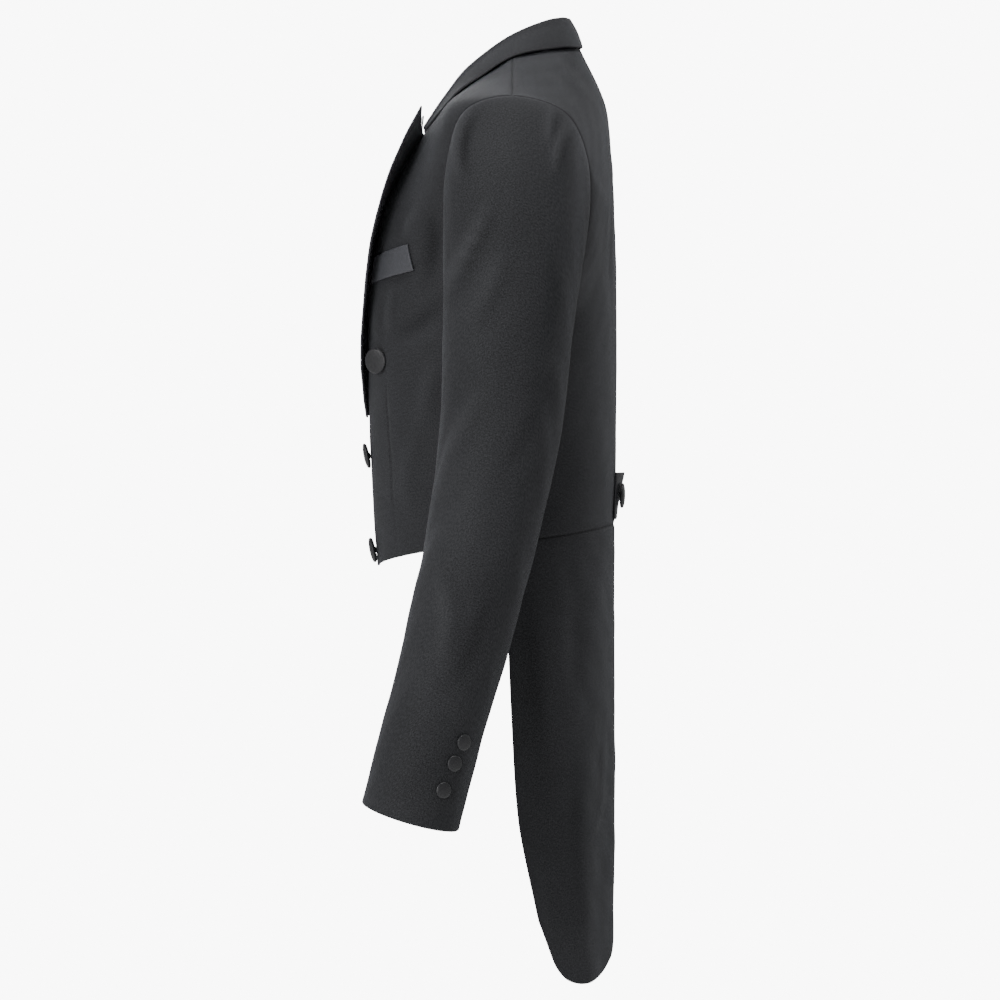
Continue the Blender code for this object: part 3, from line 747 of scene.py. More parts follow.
@dataclass(frozen=True)
class Crease:
    """A soft ridge, or trough where its height is below nought.

    The right-hand side gets the same crease a little elsewhere, as no garment's two
    sides fold alike.
    """

    path: tuple[tuple[float, float], ...]
    width: float
    height: float
    seen: Seen = Seen.CUT
    right_shift: tuple[float, float] = (0.0, 0.0)
    right_height: float = 1.0
    lean: float = 0.5
    taper: float = 0.7
    end_share: float = 0.02
    bends: int = 4
    beside_place: float = 1.7
    beside_width: float = 1.2
    reach: float = 6.0

    def lift(self, across: np.ndarray, along: np.ndarray, side: Side) -> np.ndarray:
        """How far the crease lifts the cloth.

        Args:
            across: first coordinate of each point.
            along: second coordinate of each point.
            side: the side of the wearer.

        Returns:
            Lift in millimetres.
        """
        right = side is Side.RIGHT
        path = np.asarray(self.path, float) + (np.asarray(self.right_shift) if right else 0.0)
        bends = np.linspace(0, len(path) - 1, self.bends * len(path))
        line = through(path, bends) if len(path) > 2 else path
        steps = np.linalg.norm(np.diff(line, axis=0), axis=1)
        total = steps.sum()
        nearest = np.full(across.shape, np.inf)
        signed = np.zeros(across.shape)
        gone = np.zeros(across.shape)
        run = 0.0
        for start, end, length in zip(line, line[1:], steps):
            way = (end - start) / length
            ahead = (across - start[0]) * way[0] + (along - start[1]) * way[1]
            inside = np.clip(ahead, 0, length)
            gap_a = across - start[0] - way[0] * inside
            gap_b = along - start[1] - way[1] * inside
            miss = np.hypot(gap_a, gap_b)
            closer = miss < nearest
            nearest = np.where(closer, miss, nearest)
            turn = np.sign(way[0] * gap_b - way[1] * gap_a)
            signed = np.where(closer, miss * turn, signed)
            gone = np.where(closer, (run + inside) / total, gone)
            run += length
        gone = np.clip(gone, self.end_share, 1 - self.end_share)
        taper = np.sin(np.pi * gone) ** self.taper
        crest = np.exp(-(nearest / self.width) ** 2)
        beside = np.exp(-((signed - self.beside_place * self.width)
                          / (self.beside_width * self.width)) ** 2)
        beside = beside * (nearest < self.reach * self.width)
        height = self.height * (self.right_height if right else 1.0)
        return height * (crest - self.lean * beside) * taper


@dataclass(frozen=True)
class Unevenness:
    """The slight waviness of made-up cloth, from a few long bent waves."""

    height: float = 0.22
    lengths: tuple[float, ...] = (118.0, 83.0, 61.0, 44.0, 31.0)
    turns: tuple[float, ...] = (0.3, 1.25, 2.1, 2.75, 0.85)
    bend: float = 0.6
    bend_length: float = 2.3
    bend_phase: float = 1.7
    wave_phase: float = 1.9

    def lift(self, across: np.ndarray, along: np.ndarray, start: float) -> np.ndarray:
        """How far the waves lift the cloth.

        Args:
            across: millimetres across the cut.
            along: millimetres along the cut.
            start: phase, so that each piece differs.

        Returns:
            Lift in millimetres.
        """
        total = np.zeros_like(across)
        for number, (length, turn) in enumerate(zip(self.lengths, self.turns)):
            way = across * math.cos(turn) + along * math.sin(turn)
            aside = across * math.sin(turn) - along * math.cos(turn)
            bend = self.bend * np.sin(math.tau * aside / (length * self.bend_length)
                                      + start * self.bend_phase)
            total += np.sin(math.tau * way / length + bend + start + self.wave_phase * number)
        return total * self.height / math.sqrt(len(self.lengths))


class ShaderBench:
    """Short ways to place and join nodes in one tree."""

    def __init__(self, tree: bpy.types.NodeTree) -> None:
        """Take the tree that is worked on."""
        self.tree = tree

    def node(self, kind: str, **values: object) -> bpy.types.Node:
        """Place a node.

        Args:
            kind: Blender's name of the node.
            values: properties of the node.

        Returns:
            The node.
        """
        made = self.tree.nodes.new(kind)
        for key, value in values.items():
            setattr(made, key, value)
        return made

    def put(self, source: object, target: bpy.types.NodeSocket) -> None:
        """Join a socket, or give a value, to a socket.

        Args:
            source: a socket or a value.
            target: the socket that takes it.
        """
        if isinstance(source, bpy.types.NodeSocket):
            self.tree.links.new(source, target)
        else:
            target.default_value = source

    def feed(self, node: bpy.types.Node, values: dict[object, object]) -> None:
        """Join or set several inputs of a node, by their names or numbers."""
        for key, value in values.items():
            self.put(value, node.inputs[key])

    def swing(self, source: object, gain: float, middle: float = 0.0) -> bpy.types.NodeSocket:
        """Turn a number between 0 and 1 into one that swings by a gain about a middle."""
        return self.maths("MULTIPLY_ADD", source, gain, middle - 0.5 * gain)

    def maths(self, operation: str, first: object, second: object = 0.0,
              third: object = None) -> bpy.types.NodeSocket:
        """Place a Math node.

        Args:
            operation: what it does.
            first: first number or socket.
            second: second number or socket.
            third: third number or socket, where it has one.

        Returns:
            Its output.
        """
        made = self.node("ShaderNodeMath", operation=operation)
        self.feed(made, {0: first, 1: second})
        if third is not None:
            self.put(third, made.inputs[2])
        return made.outputs[0]

    def noise(self, vector: object, scale: object, detail: float = 2.0,
              roughness: float = 0.5) -> bpy.types.NodeSocket:
        """Place a Noise Texture.

        Args:
            vector: where it is read.
            scale: its scale.
            detail: its detail.
            roughness: its roughness.

        Returns:
            Its value.
        """
        made = self.node("ShaderNodeTexNoise")
        self.feed(made, {"Vector": vector, "Scale": scale, "Detail": detail,
                         "Roughness": roughness})
        return made.outputs["Fac"]

    def blend(self, share: object, low: object, high: object) -> bpy.types.NodeSocket:
        """Place a colour Mix node.

        Args:
            share: how much of the second.
            low: first colour.
            high: second colour.

        Returns:
            Its colour.
        """
        made = self.node("ShaderNodeMix", data_type="RGBA")
        self.feed(made, {0: share, 6: low, 7: high})
        return made.outputs[2]


def new_material(name: str) -> tuple[bpy.types.Material, ShaderBench, bpy.types.Node]:
    """Make a material.

    Args:
        name: its name.

    Returns:
        The material, a bench on its nodes and its Principled node.
    """
    material = bpy.data.materials.new(name)
    material.use_nodes = True
    tree = material.node_tree
    return material, ShaderBench(tree), tree.nodes["Principled BSDF"]


class MaskGroup:
    """Node group of masks, from one vector and a few numbers."""

    NAME = ""
    VECTOR = ""
    NUMBERS: tuple[tuple[str, float], ...] = ()
    MASKS: tuple[str, ...] = ()

    @classmethod
    def get(cls) -> bpy.types.NodeTree:
        """The group, built once.

        Returns:
            Its node tree.
        """
        if cls.NAME in bpy.data.node_groups:
            return bpy.data.node_groups[cls.NAME]
        tree = bpy.data.node_groups.new(cls.NAME, "ShaderNodeTree")
        face = tree.interface
        face.new_socket(cls.VECTOR, in_out="INPUT", socket_type="NodeSocketVector")
        for name, value in cls.NUMBERS:
            taken = face.new_socket(name, in_out="INPUT", socket_type="NodeSocketFloat")
            taken.default_value = value
        for name in cls.MASKS:
            face.new_socket(name, in_out="OUTPUT", socket_type="NodeSocketFloat")
        bench = ShaderBench(tree)
        given = bench.node("NodeGroupInput").outputs
        out = bench.node("NodeGroupOutput")
        bench.feed(out, dict(zip(cls.MASKS, cls.masks(bench, given))))
        return tree

    @classmethod
    def masks(cls, bench: ShaderBench, given: Sequence) -> Sequence[bpy.types.NodeSocket]:
        """The masks, in the order of their names."""
        raise NotImplementedError


class WeaveGroup(MaskGroup):
    """Node group: diagonal twill ribs with yarns and mixed fibres."""

    NAME = "twill_weave"
    VECTOR = "Cut"
    NUMBERS = (("Rib pitch", 0.0009), ("Yarn pitch", 0.0016), ("Mottle size", 0.0018))
    MASKS = ("Height", "Mottle", "Rib")
    WANDER_SCALE = 260.0
    WANDER = 0.0011
    YARN_SLANT = 0.35
    FIBRE_SCALE = 2600.0
    FIBRE_DETAIL = (2.0, 0.6)
    MOTTLE_DETAIL = (3.0, 0.65)
    RIB_SHARE = 0.5
    YARN_SHARE = 0.22
    FIBRE_SHARE = 0.5

    @classmethod
    def masks(cls, bench: ShaderBench, given: Sequence) -> Sequence[bpy.types.NodeSocket]:
        """Height of the weave, mottle of the fibres and the ribs alone.

        Args:
            bench: the group's bench.
            given: the group's inputs.

        Returns:
            The three masks.
        """
        cut = given["Cut"]
        parts = bench.node("ShaderNodeSeparateXYZ")
        bench.put(cut, parts.inputs[0])
        right, up = parts.outputs["X"], parts.outputs["Y"]

        def ribs(way: bpy.types.NodeSocket, pitch: str) -> bpy.types.NodeSocket:
            """Rise and fall between 0 and 1 along a way, once a pitch."""
            turns = bench.maths("MULTIPLY", bench.maths("DIVIDE", way, given[pitch]), math.tau)
            return bench.maths("MULTIPLY_ADD", bench.maths("SINE", turns), 0.5, 0.5)

        wander = bench.maths("MULTIPLY", bench.noise(cut, cls.WANDER_SCALE, 1.0), cls.WANDER)
        slant = bench.maths("ADD", bench.maths("ADD", right, up), wander)
        across = bench.maths("SUBTRACT", up, bench.maths("MULTIPLY", right, cls.YARN_SLANT))
        rib, yarn = ribs(slant, "Rib pitch"), ribs(across, "Yarn pitch")
        mottle_scale = bench.maths("DIVIDE", 1.0, given["Mottle size"])
        mottle = bench.noise(cut, mottle_scale, *cls.MOTTLE_DETAIL)
        fibre = bench.noise(cut, cls.FIBRE_SCALE, *cls.FIBRE_DETAIL)
        height = bench.maths("MULTIPLY", rib, cls.RIB_SHARE)
        for part, share in ((yarn, cls.YARN_SHARE), (fibre, cls.FIBRE_SHARE)):
            height = bench.maths("ADD", height, bench.maths("MULTIPLY", part, share))
        return height, mottle, rib


class EdgeWearAndHighlightGroup(MaskGroup):
    """Node group: pressed edges, rolled seams and the slow shade of a panel."""

    # the edge mask lightens pressed edges in the material, partly as wear and partly as a painted
    # highlight
    NAME = "edge_and_shade"
    VECTOR = "Place"
    NUMBERS = (("Edge distance", 1.0), ("Seam distance", 1.0), ("Edge width", 0.0016),
               ("Shade size", 0.12))
    MASKS = ("Edge", "Seam", "Shade")
    SHADE_DETAIL = (2.0, 0.55)

    @classmethod
    def masks(cls, bench: ShaderBench, given: Sequence) -> Sequence[bpy.types.NodeSocket]:
        """Nearness to a turned edge and to a seam, and the shade.

        Args:
            bench: the group's bench.
            given: the group's inputs.

        Returns:
            The three masks.
        """

        def near(distance: bpy.types.NodeSocket) -> bpy.types.NodeSocket:
            """One at the line and nought beyond the edge width."""
            share = bench.maths("DIVIDE", distance, given["Edge width"])
            return bench.maths("SUBTRACT", 1.0, bench.maths("MINIMUM", share, 1.0))

        scale = bench.maths("DIVIDE", 1.0, given["Shade size"])
        shade = bench.noise(given["Place"], scale, *cls.SHADE_DETAIL)
        return near(given["Edge distance"]), near(given["Seam distance"]), shade


@dataclass(frozen=True)
class Finish:
    """A cloth finish, with lighter pressed edges (partly wear, partly a painted highlight) and
    painted light and shade on creases.
    """

    name: str
    slot: str
    dark: tuple[float, float, float]
    light: tuple[float, float, float]
    roughness: float
    rough_spread: float
    rib_pitch: float
    yarn_pitch: float
    mottle_size: float
    bump: float
    sheen: float
    sheen_roughness: float
    sheen_tint: tuple[float, float, float]
    specular: float
    anisotropy: float = 0.0
    mottle_gain: float = 2.2
    # lighter pressed edges: partly wear, partly a painted highlight
    edge_light: float = 0.5
    # painted light on crease ridges and painted shade in crease troughs, read from the crest
    # attribute
    crease_light: float = 0.48
    shade_gain: float = 0.8
    rib_gain: float = 0.24
    seam_shade: float = 0.9
    mix_range: tuple[float, float] = (-0.35, 2.6)
    bump_depth: float = 0.00035

    def material(self) -> bpy.types.Material:
        """The finish's material, built once.

        Returns:
            The material.
        """
        if self.name in bpy.data.materials:
            return bpy.data.materials[self.name]
        material, bench, shader = new_material(self.name)
        cut = bench.node("ShaderNodeUVMap", uv_map="cut").outputs["UV"]
        place = bench.node("ShaderNodeTexCoord").outputs["Object"]
        edge, seam, crest = (bench.node("ShaderNodeAttribute", attribute_name=name).outputs["Fac"]
                             for name in ("edge", "seam", "crest"))
        weave = bench.node("ShaderNodeGroup", node_tree=WeaveGroup.get())
        bench.feed(weave, {"Cut": cut, "Rib pitch": self.rib_pitch, "Yarn pitch": self.yarn_pitch,
                           "Mottle size": self.mottle_size})
        edge_masks = bench.node("ShaderNodeGroup", node_tree=EdgeWearAndHighlightGroup.get())
        bench.feed(edge_masks, {"Place": place, "Edge distance": edge, "Seam distance": seam})
        mottle = weave.outputs["Mottle"]
        mix = bench.swing(mottle, self.mottle_gain, 0.5)
        # Colour mix: mottle, panel tone and ribs are the cloth's own; edge_light lightens pressed
        # edges, partly as wear and partly as a painted highlight; seam_shade darkens beside seams;
        # crease_light gives crease ridges painted light and troughs painted shade, and the lapel's
        # underside painted light
        for part in (bench.swing(edge_masks.outputs["Shade"], self.shade_gain),
                     bench.swing(weave.outputs["Rib"], self.rib_gain),
                     bench.maths("MULTIPLY", edge_masks.outputs["Edge"], self.edge_light),
                     bench.maths("MULTIPLY", edge_masks.outputs["Seam"], -self.seam_shade),
                     bench.maths("MULTIPLY", crest, self.crease_light)):
            mix = bench.maths("ADD", mix, part)
        low, high = self.mix_range
        mix = bench.maths("MINIMUM", bench.maths("MAXIMUM", mix, low), high)
        colour = bench.blend(mix, (*self.dark, 1.0), (*self.light, 1.0))
        colour.node.clamp_factor = False
        bump = bench.node("ShaderNodeBump")
        bench.feed(bump, {"Strength": self.bump, "Distance": self.bump_depth,
                          "Height": weave.outputs["Height"]})
        bench.feed(shader, {
            "Base Color": colour, "Normal": bump.outputs["Normal"],
            "Roughness": bench.swing(mottle, self.rough_spread, self.roughness),
            "Sheen Weight": self.sheen, "Sheen Roughness": self.sheen_roughness,
            "Sheen Tint": (*self.sheen_tint, 1.0), "Specular IOR Level": self.specular,
            "Anisotropic": self.anisotropy})
        return material


SUITING = Finish(
    name="suiting_twill", slot="suiting",
    dark=(0.014, 0.0145, 0.0165), light=(0.041, 0.042, 0.046),
    roughness=0.76, rough_spread=0.16, rib_pitch=0.0011, yarn_pitch=0.0019, mottle_size=0.0014,
    bump=0.55, sheen=0.14, sheen_roughness=0.40, sheen_tint=(0.80, 0.83, 0.92), specular=0.32,
    mottle_gain=4.0, edge_light=0.4)
SATIN = Finish(
    name="satin_facing", slot="satin",
    dark=(0.013, 0.013, 0.0155), light=(0.034, 0.0345, 0.039),
    roughness=0.36, rough_spread=0.14, rib_pitch=0.0006, yarn_pitch=0.0030, mottle_size=0.0040,
    bump=0.22, sheen=0.10, sheen_roughness=0.30, sheen_tint=(0.85, 0.88, 0.95), specular=0.50,
    anisotropy=0.35, mottle_gain=1.2, edge_light=0.35)
WELT_SATIN = Finish(
    name="welt_satin", slot="satin",
    dark=(0.050, 0.051, 0.058), light=(0.092, 0.094, 0.106),
    roughness=0.46, rough_spread=0.14, rib_pitch=0.0007, yarn_pitch=0.0026, mottle_size=0.0020,
    bump=0.32, sheen=0.20, sheen_roughness=0.35, sheen_tint=(0.85, 0.88, 0.98), specular=0.45,
    anisotropy=0.2, mottle_gain=2.2, edge_light=0.3)
BUTTON_CLOTH = Finish(
    name="button_cloth", slot="button_satin",
    dark=(0.010, 0.010, 0.012), light=(0.028, 0.0285, 0.032),
    roughness=0.34, rough_spread=0.14, rib_pitch=0.0006, yarn_pitch=0.0022, mottle_size=0.0016,
    bump=0.35, sheen=0.10, sheen_roughness=0.35, sheen_tint=(0.85, 0.88, 0.95), specular=0.62,
    anisotropy=0.2, mottle_gain=1.6, edge_light=0.3)


@dataclass(frozen=True)
class ThreadFinish:
    """The sewing thread."""

    name: str = "silk_thread"
    colour: tuple[float, float, float] = (0.030, 0.030, 0.034)
    roughness: float = 0.45
    ply: float = 5200.0
    colour_range: tuple[float, float] = (0.6, 1.5)
    rough_spread: float = 0.2
    sheen: float = 0.2

    def material(self) -> bpy.types.Material:
        """The thread's material, built once.

        Returns:
            The material.
        """
        if self.name in bpy.data.materials:
            return bpy.data.materials[self.name]
        material, bench, shader = new_material(self.name)
        place = bench.node("ShaderNodeTexCoord").outputs["Object"]
        twist = bench.noise(place, self.ply, 1.0)
        low, high = ((*(value * share for value in self.colour), 1.0)
                     for share in self.colour_range)
        bench.feed(shader, {"Base Color": bench.blend(twist, low, high),
                            "Roughness": bench.swing(twist, self.rough_spread, self.roughness),
                            "Sheen Weight": self.sheen})
        return material


@dataclass(frozen=True)
class Borders:
    """How each border of a grid is finished; rows run down, columns run across."""

    first_row: Border
    last_row: Border
    first_column: Border
    last_column: Border


ALL_SEWN = Borders(Border.SEWN, Border.SEWN, Border.SEWN, Border.SEWN)
ALL_TURNED = Borders(Border.TURNED, Border.TURNED, Border.TURNED, Border.TURNED)
FRONT_BORDERS = Borders(Border.TURNED, Border.SEWN, Border.TURNED, Border.SEWN)
TAIL_BORDERS = Borders(Border.SEWN, Border.TURNED, Border.TURNED, Border.TURNED)
SLEEVE_BORDERS = Borders(Border.SEWN, Border.TURNED, Border.SEWN, Border.SEWN)


@dataclass
class Shell:
    """A piece of cloth with a wall, from a grid on its middle surface."""

    name: str
    points: np.ndarray
    wall: float
    borders: Borders
    outward: int = 1
    side: Side = Side.LEFT
    creases: tuple[Crease, ...] = ()
    phase: float = 0.0
    uneven: float = 1.0
    # painted light on the inner face, added to its crease value, for an underside that lies in
    # shade
    underside: float = 0.0
    press: Optional[np.ndarray] = None
    seam_roll: float = 0.75
    seam_reach: float = 1.7
    seam_calm: float = 9.0
    side_fade: float = 2.0
    edge_thickness: float = 0.30
    edge_swell: float = 0.14
    swell_place: float = 4.5
    swell_width: float = 3.0
    stitch_rise: float = -0.06
    normals: np.ndarray = field(init=False)
    across: np.ndarray = field(init=False)
    down: np.ndarray = field(init=False)
    # crease heights, which the material also turns into painted light on ridges and painted shade
    # in troughs
    crest: np.ndarray = field(init=False)
    settled: Optional[np.ndarray] = field(init=False, default=None)

    def __post_init__(self) -> None:
        """Work out the normals and the distances over the cut."""
        self.normals = grid_normals(self.points) * self.outward
        step_a = np.linalg.norm(np.diff(self.points, axis=1), axis=-1)
        step_d = np.linalg.norm(np.diff(self.points, axis=0), axis=-1)
        self.across = np.concatenate([np.zeros((len(self.points), 1)), np.cumsum(step_a, 1)], 1)
        self.down = np.concatenate([np.zeros((1, self.points.shape[1])), np.cumsum(step_d, 0)], 0)

    def border_distance(self, wanted: Border) -> np.ndarray:
        """Distance of each point from the nearest border finished that way.

        Args:
            wanted: the finish looked for.

        Returns:
            Distances in millimetres, a large number where there is none.
        """
        away = np.full(self.across.shape, FAR)
        for border, distance in (
                (self.borders.first_column, self.across),
                (self.borders.last_column, self.across[:, -1:] - self.across),
                (self.borders.first_row, self.down),
                (self.borders.last_row, self.down[-1:] - self.down)):
            if border is wanted:
                away = np.minimum(away, distance)
        return away

    def cut_size(self) -> tuple[float, float, float]:
        """Size of the flat cut.

        Returns:
            Greatest width and length and the area, in metres.
        """
        a = self.points[1:, 1:] - self.points[:-1, :-1]
        b = self.points[1:, :-1] - self.points[:-1, 1:]
        area = 0.5 * np.linalg.norm(np.cross(a, b), axis=-1).sum() * MM * MM
        width, length = self.across.max() * MM, self.down.max() * MM
        return float(width), float(length), float(min(area, width * length))

    def inset(self, run: Run) -> np.ndarray:
        """Line on the outer face that runs beside a border.

        Args:
            run: the border, the distance from it and the shares of it.

        Returns:
            Points in metres.
        """
        is_column, is_last = run.rim.value
        table = self.across if is_column else self.down.T
        if is_last:
            gaps = [np.interp(-run.distance, row - row[-1], np.arange(len(row))) for row in table]
        else:
            gaps = [np.interp(run.distance, row, np.arange(len(row))) for row in table]
        ways = np.arange(len(table), dtype=float)
        first, last = run.start * (len(table) - 1), run.end * (len(table) - 1)
        keep = (ways >= first) & (ways <= last)
        ways, gaps = ways[keep], np.array(gaps)[keep]
        return self.line(ways, gaps) if is_column else self.line(gaps, ways)

    def stitch_paths(self, runs: Iterable[Run]) -> list[np.ndarray]:
        """The lines of several runs of stitches, in metres."""
        return [self.inset(run) for run in runs]

    def folded(self) -> np.ndarray:
        """Middle surface with its creases.

        Returns:
            Points in millimetres.
        """
        if self.settled is None:
            self.settled = self.fold()
        return self.settled

    def fold(self) -> np.ndarray:
        """Work the creases into the middle surface.

        Returns:
            Points in millimetres.
        """
        lift = Unevenness().lift(self.across, self.down, self.phase + self.side.value) * self.uneven
        seen_y, seen_z = Camera.seen(self.points)
        outer = np.clip(self.normals[..., 0] * self.side_fade, 0, 1)
        crest = np.zeros_like(lift)
        for crease in self.creases:
            if crease.seen is Seen.SIDE:
                crest = crest + crease.lift(seen_y, seen_z, self.side) * outer
            else:
                crest = crest + crease.lift(self.across, self.down, self.side)
        sewn = self.border_distance(Border.SEWN)
        inland = smooth_step(sewn / self.seam_calm)
        # the crease heights are kept for the material, which paints light on ridges and shade in
        # troughs
        self.crest = crest * inland
        lift = (lift + crest) * inland
        if self.press is not None:
            lift = lift + self.press
        lift = lift - self.seam_roll * np.exp(-(sewn / self.seam_reach) ** 2)
        return self.points + self.normals * lift[..., None]

    def line(self, rows: np.ndarray, columns: np.ndarray) -> np.ndarray:
        """Points for stitches at grid places, sunk a little into the outer face.

        Args:
            rows: row places, with fractions.
            columns: column places, with fractions.

        Returns:
            Points in metres, on the wearer's side that the piece is on.
        """
        outer = self.folded() + self.normals * (self.wall / 2 + self.stitch_rise)
        r0 = np.clip(rows.astype(int), 0, outer.shape[0] - 2)
        c0 = np.clip(columns.astype(int), 0, outer.shape[1] - 2)
        fr = (rows - r0)[:, None]
        fc = (columns - c0)[:, None]
        spots = (outer[r0, c0] * (1 - fr) * (1 - fc) + outer[r0 + 1, c0] * fr * (1 - fc)
                 + outer[r0, c0 + 1] * (1 - fr) * fc + outer[r0 + 1, c0 + 1] * fr * fc)
        return spots * (self.side.value, 1, 1) * MM

    def build(self, finish: Finish) -> bpy.types.Object:
        """Make the mesh: outer face, rounded rim and inner face.

        Args:
            finish: what it is dressed in.

        Returns:
            The new object.
        """
        middle = self.folded()
        turned = self.border_distance(Border.TURNED)
        sewn = self.border_distance(Border.SEWN)
        half = self.wall / 2
        near = np.clip(turned / half, 0, 1)
        rounding = np.sqrt(np.clip(1 - (1 - near) ** 2, 0, 1))
        rounding = self.edge_thickness + (1 - self.edge_thickness) * rounding
        swell = np.exp(-((turned - self.swell_place) / self.swell_width) ** 2) * self.edge_swell
        thick = half * rounding * (1 + swell)
        outer = middle + self.normals * thick[..., None]
        inner = middle - self.normals * (half * rounding)[..., None]
        vertices = np.concatenate([outer.reshape(-1, 3), inner.reshape(-1, 3)])
        vertices = vertices * (self.side.value, 1, 1) * MM
        faces = self.faces(*middle.shape[:2])
        cut = np.stack([self.across, -self.down], -1).reshape(-1, 2) * MM
        made = MeshMaker(self.name).build(vertices, faces, np.concatenate([cut, cut]))
        # nearness to turned edges and seams and the crease heights, for the material; on the inner
        # face the crease value is raised by the underside's painted light
        for name, values, below in (("edge", turned * MM, 0.0), ("seam", sewn * MM, 0.0),
                                    ("crest", self.crest, self.underside)):
            store_values(made.data, name, np.concatenate([values.ravel(), values.ravel() + below]))
        made.data.materials.append(finish.material())
        return made

    def faces(self, rows: int, columns: int) -> np.ndarray:
        """Faces of the outer side, the inner side and the rim between them.

        Args:
            rows: rows of the grid.
            columns: columns of the grid.

        Returns:
            Four corners a face, turned outwards.
        """
        count = rows * columns
        index = np.arange(count).reshape(rows, columns)
        a, b = index[:-1, :-1].ravel(), index[1:, :-1].ravel()
        c, d = index[1:, 1:].ravel(), index[:-1, 1:].ravel()
        front = np.stack([a, b, c, d], 1)
        behind = np.stack([d, c, b, a], 1) + count
        rim = np.concatenate([index[0, :], index[1:, -1], index[-1, -2::-1], index[-2:0:-1, 0]])
        following = np.roll(rim, -1)
        band = np.stack([rim, following, following + count, rim + count], 1)
        faces = np.concatenate([front, behind, band])
        return faces[:, ::-1] if self.outward * self.side.value > 0 else faces


@dataclass(frozen=True)
class MeshMaker:
    """Makes a mesh object from arrays."""

    name: str

    def build(self, vertices: np.ndarray, faces: np.ndarray, cut: np.ndarray) -> bpy.types.Object:
        """Make the object.

        Args:
            vertices: points in metres.
            faces: four corners a face.
            cut: flat place of each vertex in metres, for the cloth's UV map.

        Returns:
            The new object, linked to the scene.
        """
        mesh = bpy.data.meshes.new(self.name)
        mesh.vertices.add(len(vertices))
        mesh.vertices.foreach_set("co", np.asarray(vertices, np.float32).ravel())
        corners = np.asarray(faces, np.int32)
        mesh.loops.add(corners.size)
        mesh.loops.foreach_set("vertex_index", corners.ravel())
        mesh.polygons.add(len(corners))
        mesh.polygons.foreach_set("loop_start",
                                  np.arange(len(corners), dtype=np.int32) * corners.shape[1])
        mesh.update(calc_edges=True)
        layer = mesh.uv_layers.new(name="cut")
        layer.data.foreach_set("uv", cut[corners.ravel()].astype(np.float32).ravel())
        shade_smooth(mesh)
        mesh.validate()
        return linked(self.name, mesh)


def share_seams(shells: Iterable[Shell]) -> None:
    """Give the pieces that meet at a seam one direction there.

    Args:
        shells: the pieces on one side of the wearer.
    """
    groups: dict[tuple, list[tuple[Shell, int, int]]] = {}
    for shell in shells:
        rows, columns = shell.points.shape[:2]
        for i in range(rows):
            border = (0, columns - 1) if 0 < i < rows - 1 else range(columns)
            for j in border:
                groups.setdefault(tuple(np.round(shell.points[i, j], 2)), []).append((shell, i, j))
    for members in groups.values():
        if len(members) > 1:
            mean = unit(sum(shell.normals[i, j] for shell, i, j in members))
            for shell, i, j in members:
                shell.normals[i, j] = mean / max(float(mean @ shell.normals[i, j]), MITRE_LIMIT)


